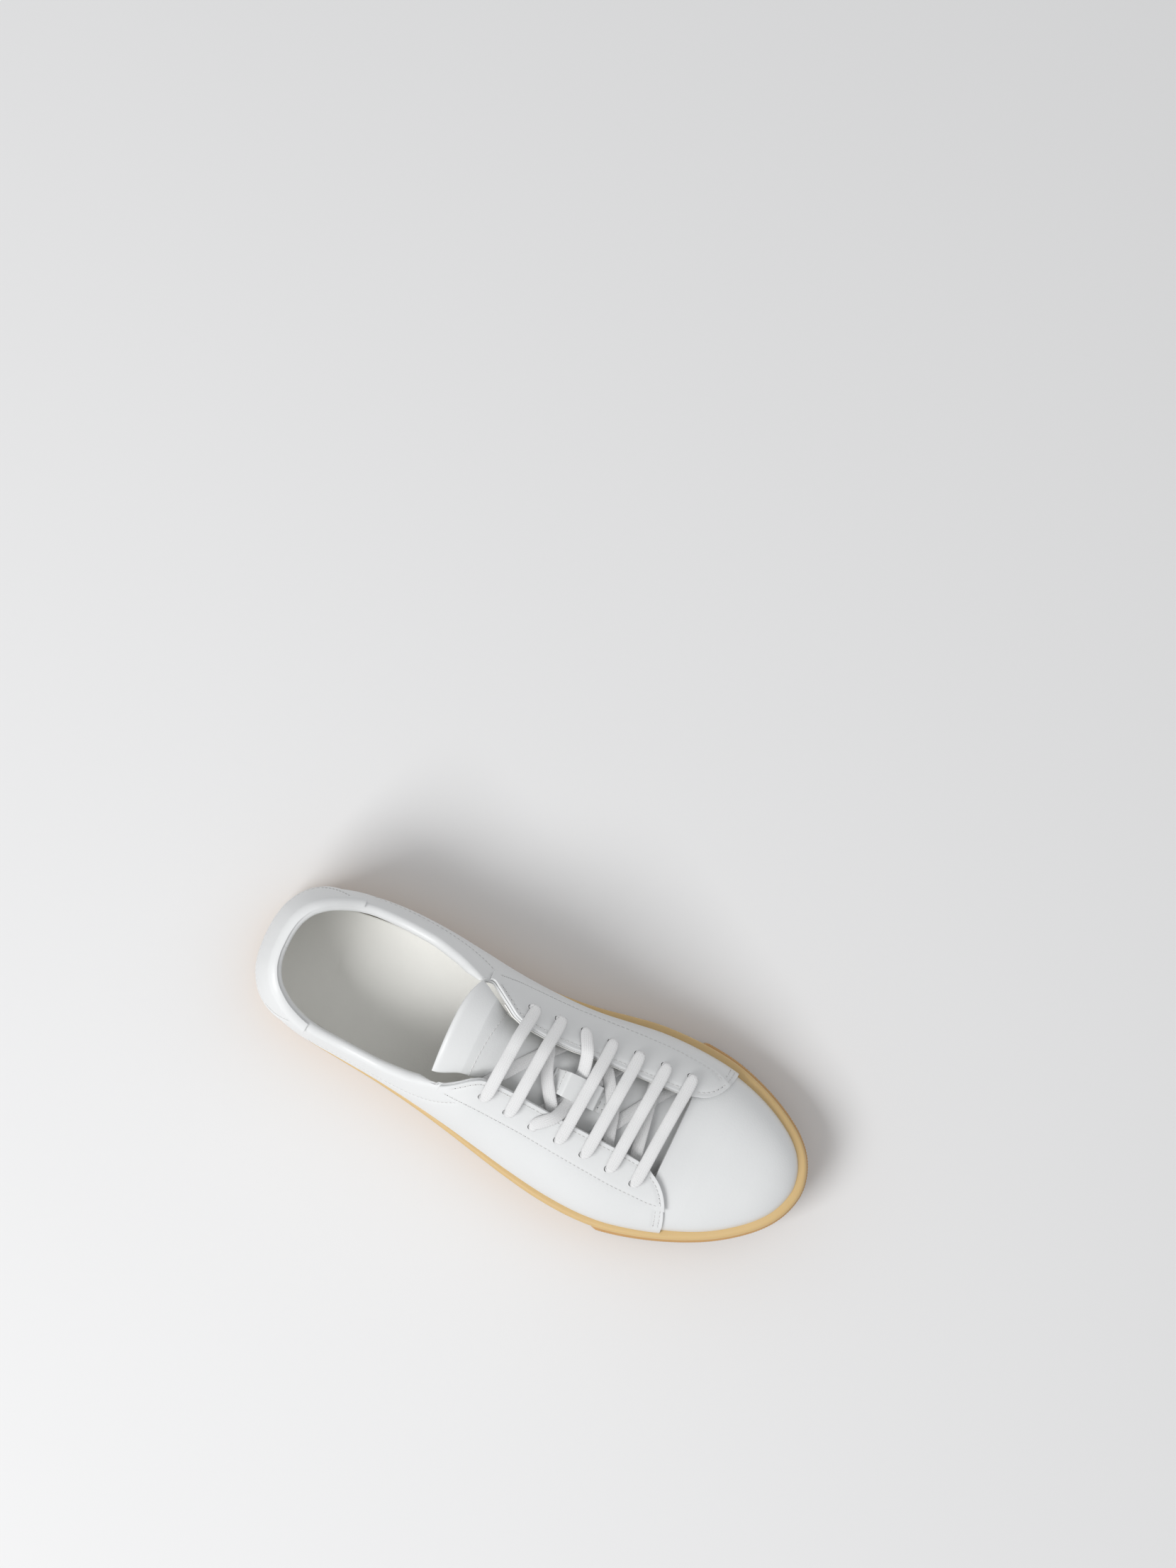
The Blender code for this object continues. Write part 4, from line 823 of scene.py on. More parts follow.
def curve_through(points, steps):
    """Catmull-Rom samples through points of any dimension."""
    p = np.array(points, float)
    a = np.vstack([2 * p[0] - p[1], p, 2 * p[-1] - p[-2]])
    u = (np.arange(steps) / steps)[None, :, None]
    p0, p1, p2, p3 = (a[i:len(a) - 3 + i, None] for i in range(4))
    out = 0.5 * (2 * p1 + (p2 - p0) * u + (2 * p0 - 5 * p1 + 4 * p2 - p3) * u ** 2
                 + (3 * p1 - p0 - 3 * p2 + p3) * u ** 3)
    return np.vstack([out.reshape(-1, p.shape[1]), p[-1:]])


def stay_lines(side):
    """The boundary of an eyestay in (w, t): outer edge, throat edge, front end, rear end."""
    fl = front_line(side)
    outer = STAY_LATERAL if side < 0 else STAY_MEDIAL
    ox = np.linspace(outer[0][0], outer[-1][0], 60) * GX
    ow = w_at(side, ox)
    bottom = list(zip(ow, t_at_y(side, ow, stay_y[side](ox))))
    tx = np.linspace(ox[0], front[side][0][0], 90)
    tw = w_at(side, tx)
    top = list(zip(tw, top_t(side, tw)))
    top[-1] = fl[-1]
    end = bottom[-1]
    right = [end] + [q for q in fl if q[1] > end[1] + 0.01]
    return bottom, top, right, [bottom[0], top[0]]


def shifted(line, mm, towards):
    """A (w, t) line moved sideways along the surface by mm, to the side where `towards` lies."""
    line = np.array(line, float)
    w, t = line[:, 0], line[:, 1]
    p, n, e = surface(w, t), outward(w, t), 1e-3
    along_line = np.gradient(p, axis=0)
    across = np.cross(n, along_line)
    across /= np.linalg.norm(across, axis=1)[:, None]
    if np.sum(across * (surface(*towards) - p)) < 0:
        across = -across
    sw = (surface(w + e, t) - surface(w - e, t)) / (2 * e)
    st = (surface(w, t + e) - surface(w, t - e)) / (2 * e)
    a, b, c = (sw * sw).sum(1), (sw * st).sum(1), (st * st).sum(1)
    u, v = (sw * across).sum(1) * mm, (st * across).sum(1) * mm
    det = a * c - b * b
    return line + np.column_stack([(u * c - v * b) / det, (a * v - b * u) / det])


SEAM_INSET = 2.1
seams = {}
for side, tag in ((-1, "lateral"), (1, "medial")):
    bottom, top, right, left = (np.array(line) for line in stay_lines(side))
    middle = ((bottom[30] + top[45]) / 2).tolist()
    fl = np.array(front_line(side))
    seams["stay_outer_" + tag] = ("stay", shifted(evenly(bottom), SEAM_INSET, middle)[4:-6])
    seams["stay_throat_" + tag] = ("stay", shifted(evenly(top), SEAM_INSET, middle)[6:-5])
    foot_part = evenly(fl[fl[:, 1] < bottom[-1, 1] - 0.01][1:])
    stay_part = evenly(fl[fl[:, 1] > bottom[-1, 1]])
    behind = (fl[3, 0] - side * 20 / LOOP_LENGTH, fl[3, 1])
    for number, back in enumerate((2.2, 4.6)):
        seams[f"front_{number}_{tag}"] = ("quarter", shifted(foot_part, back, behind))
    seams["front_stay_" + tag] = ("stay", shifted(stay_part, SEAM_INSET, middle)[3:-3])
    seams["side_" + tag] = ("quarter", evenly(side_seam(side)))
print("seam lines:", ", ".join(seams))


# %% [markdown]
# ## Pinched leather
# Each point of a sheet looks for the nearest seam point. Within about a millimetre it sinks
# by up to a third of a millimetre.

# %% Pinch
PINCH, PINCH_WIDTH = 0.34, 1.15


def seam_tree(kind):
    lines = [line for on, line in seams.values() if on == kind]
    points = [surface(line[:, 0], line[:, 1]) for line in lines]
    points = np.vstack([curve_through(p, 2) for p in points])
    tree = KDTree(len(points))
    for i, p in enumerate(points):
        tree.insert(p, i)
    tree.balance()
    return tree


def pinch(points, kind):
    """How far each point sinks towards a seam of its own layer."""
    tree = seam_tree(kind)
    flat = points.reshape(-1, 3)
    near = np.array([tree.find(p)[2] for p in flat])
    return (PINCH * np.exp(-(near / PINCH_WIDTH) ** 2)).reshape(points.shape[:-1])


def worked(w, t, d, kind=None):
    """A leather face d millimetres off the surface, with its swell and its seams."""
    base = surface(w, t)
    lift = d + hide_swell(base) - (pinch(base, kind) if kind else 0.0)
    return base + outward(w, t) * lift[..., None]


print("sheets are pinched by", PINCH, "mm at their seams")

# %% [markdown]
# ## Cup sole
# One rubber cup: a wall with a raised band round the toe and another round the heel, a cove,
# a stitch groove, and a rounded lip that holds the upper. It is skinned from rings of its
# wall; each ring is one closed loop, and the rings follow the moulded profile from the floor up.

# %% Sole
SOLE_COLUMNS = 720
sole_w = np.arange(SOLE_COLUMNS) / SOLE_COLUMNS
toe_band, heel_band = bands(sole_w)
sole_x = sole_edge(sole_w)[:, 0]
zb, zl = bottom_z(sole_x), lip_z(sole_x)
foot_end = np.where(sole_w < W_HEEL, FRONT_FOOT_X[-1], FRONT_FOOT_X[1]) * GX
over_quarter = 1 - ramp(sole_x, foot_end + 4.5, foot_end + 10)
cup_clear = GAP + 0.25 + over_quarter * (0.2 + LEATHER)


def cup_wall(z):
    """Inner wall of the cup at height z: it hugs the upper."""
    p = skin(sole_w, t_at_z(sole_w, z), cup_clear)
    p[:, 2] = z
    return p


BAND = toe_band + heel_band
# each row: height, how far inwards, share of the bumper's swell, how pale
profile = [
    (zb, 2.2, 1.0, 0), (zb + 0.12, 1.25, 1.0, 0), (zb + 0.45, 0.62, 1.0, 0), (zb + 1.0, 0.24, 1.0, 0),
    (zb + 1.8, 0.2, 1.0, 0), (zb + 0.5 * (zl - 8.2 - zb), 0.25, 1.0, 0), (zl - 8.4, 0.36, 1.0, 0),
    (zl - 7.9, 0.42, 1.0, 0), (zl - 7.45, 0.62, 0.9, 0), (zl - 7.2, 0.95, 0.7, 0),
    (zl - 7.0, 1.35, 0.35, 0), (zl - 6.6, 1.66, 0.05, 0.2), (zl - 6.0, 1.72, 0, 0.4),
    (zl - 5.5, 1.45, 0, 0.6), (zl - 5.0, 0.86, 0, 0.8), (zl - 4.6, 0.58, 0, 1),
    (zl - 4.35, 0.62, 0, 1), (zl - 4.1, 0.95, 0, 1), (zl - 3.9, 1.45, 0, 0.7),
    (zl - 3.4, 1.66, 0, 0.5), (zl - 2.9, 1.45, 0, 0.7), (zl - 2.7, 0.95, 0, 1),
    (zl - 2.45, 0.55, 0, 1), (zl - 2.0, 0.36, 0, 1), (zl - 1.4, 0.4, 0, 1), (zl - 0.8, 0.66, 0, 1),
    (zl - 0.35, 1.1, 0, 1), (zl - 0.08, 1.7, 0, 1), (zl, 2.3, 0, 1)]
sole_rings = [wall_ring(sole_w, z, inwards, BAND * share) for z, inwards, share, _ in profile]
lip_value = [np.full(SOLE_COLUMNS, float(pale)) for *_, pale in profile]
top_in, low_in = cup_wall(zl - 0.45), cup_wall(zl - LIP_DEPTH)
glue_line = skin(sole_w, t_at_z(sole_w, zl - 0.3), np.full(SOLE_COLUMNS, -0.6))
glue_line[:, 2] = zl - 0.3
glue_foot = glue_line.copy()
glue_foot[:, 2] = zl - 1.6
crest = top_in.copy()
crest[:, 2] = zl - 0.05
crest[:, :2] = sole_rings[-1][:, :2] + (top_in[:, :2] - sole_rings[-1][:, :2]) * 0.82
floor_in = low_in.copy()
floor_in[:, 2] = zb + OUTSOLE
under_line = cup_wall(zl - 1.9)
sole_rings += [crest, glue_line, glue_foot, under_line, low_in, floor_in]
lip_value += [np.ones(SOLE_COLUMNS)] * 3 + [np.zeros(SOLE_COLUMNS)] * 3


def towards_middle(ring, share, z):
    """A ring drawn in towards the long middle line of the shoe."""
    kx = np.clip(ring[:, 0], KH, KT)
    middle = np.column_stack([kx, crown_y(kx), z])
    return ring * (1 - share) + middle * share


def rung_faces(n, base, up):
    """Cap a ring by rungs from its outer side to its inner side."""
    h = n // 2
    caps = [(base + i, base + i + 1, base + (n - i - 1) % n, base + (n - i) % n) for i in range(h)]
    caps = [tuple(dict.fromkeys(c)) for c in caps]
    return [c if up else c[::-1] for c in caps]


def ringed(name, loops, mats, values=None, uv=None):
    """Closed loops skinned one after another and capped by rungs at both ends."""
    n = len(loops[0])
    faces = []
    for k in range(len(loops) - 1):
        a, b = k * n, (k + 1) * n
        faces += [(a + i, a + (i + 1) % n, b + (i + 1) % n, b + i) for i in range(n)]
    faces += rung_faces(n, 0, False) + rung_faces(n, (len(loops) - 1) * n, True)
    obj = new_piece(name, np.vstack(loops), faces, mats, values=values, uv=uv)
    return closed_skin(obj)


sole = ringed("cup_sole", sole_rings, GUM, values={"lip": np.concatenate(lip_value)})
smooth(sole, 38)
report(sole)

# %% [markdown]
# ## Repeats made by Geometry Nodes
# A row of stitches is one thing repeated along a line, so a node tree lays it: the guide line
# is cut into even steps, and a short bent thread is placed on each step, turned along the
# line and away from the leather. A second tree lays flat near-black dots between them: painted
# shade for the shadow inside each needle hole.

# %% Stitch tree
def tree_with(name, sockets):
    """A Geometry Nodes tree with a geometry in, a geometry out and named inputs."""
    tree = bpy.data.node_groups.new(name, 'GeometryNodeTree')
    tree.interface.new_socket("Geometry", in_out='INPUT', socket_type='NodeSocketGeometry')
    for label, kind, value in sockets:
        socket = tree.interface.new_socket(label, in_out='INPUT', socket_type=kind)
        if value is not None:
            socket.default_value = value
    tree.interface.new_socket("Geometry", in_out='OUTPUT', socket_type='NodeSocketGeometry')
    return tree, tree.nodes.new('NodeGroupInput'), tree.nodes.new('NodeGroupOutput')


def facing(tree, tangent_socket):
    """A rotation whose X runs along the line and whose Z follows the guide's own 'lift' vector."""
    link = tree.links.new
    up = tree.nodes.new('GeometryNodeInputNamedAttribute')
    up.data_type = 'FLOAT_VECTOR'
    up.inputs["Name"].default_value = "lift"
    first = tree.nodes.new('FunctionNodeAlignRotationToVector')
    first.axis = 'X'
    link(tangent_socket, first.inputs["Vector"])
    second = tree.nodes.new('FunctionNodeAlignRotationToVector')
    second.axis, second.pivot_axis = 'Z', 'X'
    link(first.outputs[0], second.inputs["Rotation"])
    link(up.outputs["Attribute"], second.inputs["Vector"])
    return second.outputs[0]


def row_tree(name, pit):
    """Threads, or the dark pits between them (painted shade of the needle holes), repeated along guide lines."""
    tree, given, out = tree_with(name, [
        ("Pitch", 'NodeSocketFloat', 0.0025), ("Length", 'NodeSocketFloat', 0.0019),
        ("Radius", 'NodeSocketFloat', 0.0003), ("Seed", 'NodeSocketInt', 7),
        ("Finish", 'NodeSocketMaterial', None)])
    link, new = tree.links.new, tree.nodes.new
    g = given.outputs
    line = new('GeometryNodeMeshToCurve')
    link(g["Geometry"], line.inputs[0])
    flow = line.outputs[0]
    if pit:
        trim = new('GeometryNodeTrimCurve')
        trim.mode = 'LENGTH'
        link(flow, trim.inputs["Curve"])
        half_step = new('ShaderNodeMath')
        half_step.operation = 'MULTIPLY'
        half_step.inputs[1].default_value = 0.5
        link(g["Pitch"], half_step.inputs[0])
        link(half_step.outputs[0], trim.inputs[4])
        trim.inputs[5].default_value = 10.0
        flow = trim.outputs[0]
    steps = new('GeometryNodeResampleCurve')
    steps.mode = 'LENGTH'
    link(flow, steps.inputs["Curve"])
    link(g["Pitch"], steps.inputs["Length"])
    if pit:
        ball = new('GeometryNodeMeshUVSphere')
        ball.inputs["Segments"].default_value, ball.inputs["Rings"].default_value = 8, 4
        link(g["Radius"], ball.inputs["Radius"])
        shape = new('GeometryNodeTransform')
        shape.inputs["Scale"].default_value = (1.35, 1.0, 0.35)
        link(ball.outputs["Mesh"], shape.inputs["Geometry"])
        thread = shape.outputs[0]
    else:
        parts = {}
        for label, x_share, z_share in (("Start", -0.5, -1.3), ("Middle", 0.0, 1.8), ("End", 0.5, -1.3)):
            at = new('ShaderNodeCombineXYZ')
            for axis, socket, share in ((0, "Length", x_share), (2, "Radius", z_share)):
                times = new('ShaderNodeMath')
                times.operation = 'MULTIPLY'
                times.inputs[1].default_value = share
                link(g[socket], times.inputs[0])
                link(times.outputs[0], at.inputs[axis])
            parts[label] = at.outputs[0]
        bend = new('GeometryNodeCurveQuadraticBezier')
        bend.inputs["Resolution"].default_value = 6
        for label, socket in parts.items():
            link(socket, bend.inputs[label])
        section = new('GeometryNodeCurvePrimitiveCircle')
        section.inputs["Resolution"].default_value = 7
        link(g["Radius"], section.inputs["Radius"])
        body = new('GeometryNodeCurveToMesh')
        link(bend.outputs[0], body.inputs["Curve"])
        link(section.outputs[0], body.inputs["Profile Curve"])
        body.inputs["Fill Caps"].default_value = True
        thread = body.outputs[0]
    place = new('GeometryNodeInstanceOnPoints')
    link(steps.outputs[0], place.inputs["Points"])
    link(thread, place.inputs["Instance"])
    link(facing(tree, new('GeometryNodeInputTangent').outputs[0]), place.inputs["Rotation"])
    vary = new('FunctionNodeRandomValue')
    vary.data_type = 'FLOAT'
    vary.inputs[2].default_value, vary.inputs[3].default_value = 0.92, 1.08
    link(g["Seed"], vary.inputs["Seed"])
    link(vary.outputs[1], place.inputs["Scale"])
    real = new('GeometryNodeRealizeInstances')
    link(place.outputs[0], real.inputs[0])
    paint = new('GeometryNodeSetMaterial')
    link(real.outputs[0], paint.inputs["Geometry"])
    link(g["Finish"], paint.inputs["Material"])
    link(paint.outputs[0], out.inputs[0])
    return tree


THREADS, HOLE_SHADE_TREE = row_tree("stitch row", False), row_tree("needle hole shade dots", True)


def guides(name, lines, cyclic=False):
    """Guide lines as edges, each point carrying the way out of the leather."""
    points, lifts, edges = [], [], []
    for p, n in lines:
        start = len(points)
        points += list(to_frame(p))
        lifts += list(n)
        edges += [(start + i, start + i + 1) for i in range(len(p) - 1)]
        if cyclic:
            edges.append((start + len(p) - 1, start))
    mesh = bpy.data.meshes.new(name)
    mesh.from_pydata([tuple(p) for p in points], edges, [])
    mesh.attributes.new("lift", "FLOAT_VECTOR", "POINT").data.foreach_set("vector", np.array(lifts).ravel())
    obj = bpy.data.objects.new(name, mesh)
    bpy.context.scene.collection.objects.link(obj)
    return obj


def grown(name, lines, tree, values, cyclic=False):
    """Run a tree on guide lines and keep the result as a plain mesh."""
    obj = guides(name, lines, cyclic)
    nodes = obj.modifiers.new(tree.name, 'NODES')
    nodes.node_group = tree
    for item in tree.interface.items_tree:
        if item.item_type == 'SOCKET' and item.in_out == 'INPUT' and item.name in values:
            nodes[item.identifier] = values[item.name]
    baked(obj)
    smooth(obj, 60)
    return report(obj)


print("trees made:", THREADS.name, "and", HOLE_SHADE_TREE.name)

# %% [markdown]
# ## Sole stitch
# The cup is sewn to the upper through the groove under the lip: one waxed stitch about every
# five millimetres, all the way round.

# %% Sole stitch
groove = wall_ring(sole_w, zl - 3.4, 1.15)
out_of_sole = np.column_stack([along(normal2, sole_w), np.zeros(SOLE_COLUMNS)])
sole_stitch = grown("sole_stitches", [(groove, out_of_sole)], THREADS,
                    {"Pitch": 0.0051, "Length": 0.0040, "Radius": 0.00052, "Seed": 3, "Finish": SOLE_THREAD},
                    cyclic=True)

# %% [markdown]
# ## Gripping dots on the toe bumper
# The toe band is moulded with rows of tiny raised dots, set like a honeycomb. The dots' places
# follow a rule, so they are worked out in a loop and carried by a small tree.

# %% Bumper dots
DOT_PITCH = 1.42


def dot_tree():
    tree, given, out = tree_with("raised dots", [("Radius", 'NodeSocketFloat', 0.0004),
                                                 ("Height", 'NodeSocketFloat', 0.6),
                                                 ("Finish", 'NodeSocketMaterial', None)])
    link, new = tree.links.new, tree.nodes.new
    dot = new('GeometryNodeMeshUVSphere')
    dot.inputs["Segments"].default_value, dot.inputs["Rings"].default_value = 7, 4
    link(given.outputs["Radius"], dot.inputs["Radius"])
    low = new('ShaderNodeCombineXYZ')
    low.inputs[0].default_value = low.inputs[1].default_value = 1.0
    link(given.outputs["Height"], low.inputs[2])
    flat = new('GeometryNodeTransform')
    link(dot.outputs["Mesh"], flat.inputs["Geometry"])
    link(low.outputs[0], flat.inputs["Scale"])
    up = new('GeometryNodeInputNamedAttribute')
    up.data_type = 'FLOAT_VECTOR'
    up.inputs["Name"].default_value = "lift"
    turn = new('FunctionNodeAlignRotationToVector')
    turn.axis = 'Z'
    link(up.outputs["Attribute"], turn.inputs["Vector"])
    points = new('GeometryNodeMeshToPoints')
    link(given.outputs["Geometry"], points.inputs["Mesh"])
    place = new('GeometryNodeInstanceOnPoints')
    link(points.outputs[0], place.inputs["Points"])
    link(flat.outputs[0], place.inputs["Instance"])
    link(turn.outputs[0], place.inputs["Rotation"])
    real = new('GeometryNodeRealizeInstances')
    link(place.outputs[0], real.inputs[0])
    paint = new('GeometryNodeSetMaterial')
    link(real.outputs[0], paint.inputs["Geometry"])
    link(given.outputs["Finish"], paint.inputs["Material"])
    link(paint.outputs[0], out.inputs[0])
    return tree


def dot_places():
    """Rows of dots between the foot and the top of the toe band."""
    places, ways = [], []
    rows = int(26 / (DOT_PITCH * math.sin(math.pi / 3)))
    for row in range(rows):
        w = (np.arange(int(LOOP_LENGTH / DOT_PITCH)) + 0.5 * (row % 2)) * DOT_PITCH / LOOP_LENGTH
        x = sole_edge(w)[:, 0]
        on_band = np.where(np.mod(w, 1) < W_HEEL, x > 213.2 * GX, x > 225.2 * GX)
        z = lip_z(x) - 9.4 - row * DOT_PITCH * math.sin(math.pi / 3)
        keep = on_band & (z > bottom_z(x) + 2.4)
        w, z = w[keep], z[keep]
        p = sole_edge(w, 0.30 - BUMPER_TOE)
        places.append(np.column_stack([p, z]))
        ways.append(np.column_stack([along(normal2, w), np.zeros(len(w))]))
    return np.vstack(places), np.vstack(ways)


dot_at, dot_way = dot_places()
dots = guides("toe_bumper_dots", [(dot_at, dot_way)])
dots.data.clear_geometry()
dots.data.from_pydata(to_frame(dot_at).tolist(), [], [])
dots.data.attributes.new("lift", "FLOAT_VECTOR", "POINT").data.foreach_set("vector", dot_way.ravel())
nodes = dots.modifiers.new("raised dots", 'NODES')
nodes.node_group = dot_tree()
for item in nodes.node_group.interface.items_tree:
    if item.item_type == 'SOCKET' and item.in_out == 'INPUT' and item.name == "Finish":
        nodes[item.identifier] = GUM
baked(dots)
smooth(dots, 60)
report(dots)

# %% [markdown]
# ## Vamp
# The vamp is one piece of leather drawn over the toe. Its sections fan round the toe, and its
# two halves share one line along the crown, so that no seam shows there.

# %% Vamp
BACK_X, THROAT_X = 212 * GX, 226 * GX


def toe_columns(back, throat, n_side, n_toe, nr):
    """(w, t) columns lateral -> toe -> medial; rows from the sole to the crown line."""
    rows = np.linspace(0, 1, nr)
    xb = back + (throat - back) * ramp(rows, 0.25, 0.8)
    cols = [w_at(-1, xb + (KT - xb) * s) for s in np.linspace(0, 1, n_side)]
    w0, w1 = float(w_at(-1, KT)), float(w_at(1, KT)) - 1.0
    cols += [np.full(nr, w0 + (w1 - w0) * s) for s in np.linspace(0, 1, n_toe + 1)[1:-1]]
    cols += [w_at(1, xb + (KT - xb) * s) for s in np.linspace(1, 0, n_side)]
    return np.array(cols), np.broadcast_to(rows, (len(cols), nr))


N_SIDE, N_TOE = 36, 150
vamp_w, vamp_t = toe_columns(BACK_X, THROAT_X, N_SIDE, N_TOE, 76)
vamp_net = worked(vamp_w, vamp_t, 0.0)
across = N_SIDE
vamp_net[:across, -1] = vamp_net[len(vamp_net) - across:, -1][::-1]
vamp_net[across - 1:len(vamp_net) - across + 1, -1] = vamp_net[across - 1, -1]
vamp = report(leather_sheet("vamp_leather", vamp_net, LEATHER, WHITE, weld=True))

# %% [markdown]
# ## Quarters
# The two sides of the shoe. At the collar the leather rolls inwards over the padding; towards
# the throat the roll runs out into a flat cut edge.

# %% Quarters
SEAM_OFF = 0.04


def rolled(w, t, d, radius, kind=None, turn=180.0, drop=ROLL_DROP, steps=26):
    """The outer face of a net; above the collar line its rows roll over the padding."""
    nc, nr = w.shape
    extra = steps + (4 if drop else 0)
    tip = w[:, -1], t[:, -1]
    k = 1 - ramp(surface(*tip)[..., 0], 96 * GX, 112 * GX)
    low = np.clip(below(*tip, np.full(nc, 4.0)) / t[:, -1], 0, 1)
    row = np.linspace(0, 1, nr)[None]
    squeeze = 1 - (1 - low[:, None]) * (1 - k[:, None]) * ramp(row, 0, 1)
    face = worked(w, t * squeeze, d, kind)
    j = np.arange(1, extra + 1)[None] / extra
    last_w = np.broadcast_to(w[:, -1:], (nc, extra))
    flat_end = worked(last_w, t[:, -1:] * (low[:, None] + (1 - low[:, None]) * j), d, kind)
    top, n = surface(*tip), outward(*tip)
    up = top - surface(w[:, -1], t[:, -1] - 0.02)
    up -= n * np.sum(up * n, -1)[:, None]
    up /= np.linalg.norm(up, axis=1)[:, None]
    rise = hide_swell(top)[:, None]
    centre = Q_OUT - ROLL_R
    turns = np.radians(np.linspace(0, turn, steps + 1)[1:])
    reach = radius + rise
    curl = [top + n * (centre + reach * math.cos(a)) + up * (reach * math.sin(a)) for a in turns]
    if drop:
        curl += [top + n * (centre - radius - rise) - up * drop * s for s in (0.25, 0.5, 0.75, 1.0)]
    k = k[:, None, None]
    end = flat_end * (1 - k) + np.stack(curl, 1) * k
    return np.concatenate([face, end], 1)


def quarter_net(side, nc=290, nr=84):
    edge = front_line(side)
    w_end, t_end = edge[-1]
    w_start = W_HEEL + side * SEAM_OFF / LOOP_LENGTH
    cw = np.linspace(w_start, w_end, 240)
    top = list(zip(cw, top_t(side, cw)))
    top[-1] = (w_end, t_end)
    bottom = [(w_start, 0.0), (edge[0][0], 0.0)]
    back = [(w_start, 0.0), (w_start, top[0][1])]
    return filled(bottom, top, back, edge, nc, nr)


quarters = {}
for side, tag in ((-1, "lateral"), (1, "medial")):
    net = quarter_net(side)
    face = rolled(net[..., 0], net[..., 1], Q_OUT, ROLL_R, "quarter")
    piece = leather_sheet("quarter_leather_" + tag, face, LEATHER, WHITE, edge=0.2, even=False)
    quarters[side] = report(piece)

# %% [markdown]
# ## Heel tab and eyestays
# A small patch wraps the back of the heel and the top of the collar. Two long straps, the
# eyestays, carry the lace holes. All three are second layers, sewn on near their edges.

# %% Heel tab
tab_w = np.linspace(float(w_at(-1, 44 * GX)), float(w_at(1, 44 * GX)), 400)
tab_top = np.where(tab_w < W_HEEL, top_t(-1, tab_w), top_t(1, tab_w))
tab_low = solve_t(tab_w, lambda p: p[..., 2] - tab_foot(p[..., 0]))
kept = tab_low < tab_top - 0.006
tab_w = np.linspace(tab_w[kept][0], tab_w[kept][-1], 150)
tab_top = np.where(tab_w < W_HEEL, top_t(-1, tab_w), top_t(1, tab_w))
tab_low = solve_t(tab_w, lambda p: p[..., 2] - tab_foot(p[..., 0]))
tab_line = np.column_stack([tab_w, tab_low])
tab_middle = (W_HEEL, float(tab_low[75] + tab_top[75]) / 2)
seams["heel_tab"] = ("tab", shifted(evenly(tab_line), 3.0, tab_middle)[7:-7])
tw = np.broadcast_to(tab_w[:, None], (150, 34))
tt = tab_low[:, None] + (tab_top - tab_low)[:, None] * np.linspace(0, 1, 34)[None]
tab_face = rolled(tw, tt, Q_OUT + TAB_LIFT, ROLL_R + TAB_LIFT, "tab", turn=80, drop=0, steps=12)
heel_tab = report(leather_sheet("heel_tab_leather", tab_face, OVERLAY, WHITE))

# %% Eyestays
stays = {}
for side, tag in ((-1, "lateral"), (1, "medial")):
    bottom, top, right, left = stay_lines(side)
    net = filled(bottom, top, left, right, 190, 30)
    face = worked(net[..., 0], net[..., 1], STAY_OUT, "stay")
    stays[side] = report(leather_sheet("eyestay_leather_" + tag, face, OVERLAY, WHITE))

# %% [markdown]
# ## Punched lace holes
# The holes are cut through eyestay and quarter by one Boolean with plain round punches. The
# cut happens on fine meshes, after the edges are rounded, so the holes keep a crisp rim.

# %% Lace holes
hole_at, hole_dir = {}, {}
punches = bmesh.new()
for side in (-1, 1):
    for k, (x, y) in enumerate(holes[side]):
        w = w_at(side, np.array([x]))
        t = t_at_y(side, w, np.array([y]))
        p, n = surface(w, t)[0], outward(w, t)[0]
        hole_at[side, k], hole_dir[side, k] = p, n
        turned = Vector(n).to_track_quat('Z', 'X').to_matrix().to_4x4()
        place = Matrix.Translation(Vector(to_frame(p + n))) @ turned
        radius = (EYELET_D - 0.5) / 2000
        bmesh.ops.create_cone(punches, cap_ends=True, segments=28, radius1=radius, radius2=radius,
                              depth=0.009, matrix=place)
punch_mesh = bpy.data.meshes.new("lace_hole_punch")
punches.to_mesh(punch_mesh)
punches.free()
punch = bpy.data.objects.new("lace_hole_punch", punch_mesh)
bpy.context.scene.collection.objects.link(punch)
for piece in (*quarters.values(), *stays.values()):
    cut = piece.modifiers.new("lace holes", 'BOOLEAN')
    cut.operation, cut.solver, cut.object = 'DIFFERENCE', 'EXACT', punch
    baked(piece)
    smooth(piece, 50)
bpy.data.objects.remove(punch)
print("cut", len(hole_at), "lace holes")

# %% [markdown]
# ## Linings and footbed
# Inside, a soft off-white leather lines the heel and the sides, and a padded footbed lies on
# the bottom: its rim is rounded and its middle is slightly dished, as under a real foot.

# %% Linings
LINING_ROWS = 44


def lining_net(w_from, w_to, nc):
    """Columns spread between two edges, each given as one w for every row."""
    ww = w_from + (w_to - w_from) * np.linspace(0, 1, nc)[:, None]
    w = ww.ravel()
    top = np.where(np.mod(w, 1) < W_HEEL, top_t(-1, w), top_t(1, w))
    x = along(foot_loop, w)[:, 0]
    high = below(w, top, ROLL_DROP + 0.95 + (16 - ROLL_DROP) * ramp(x, 104 * GX, 116 * GX))
    tt = high.reshape(ww.shape) * np.linspace(0, 1, LINING_ROWS)
    base = surface(ww, tt)
    return base + outward(ww, tt) * (LINING_OUT - 0.4 * hide_swell(base))[..., None]


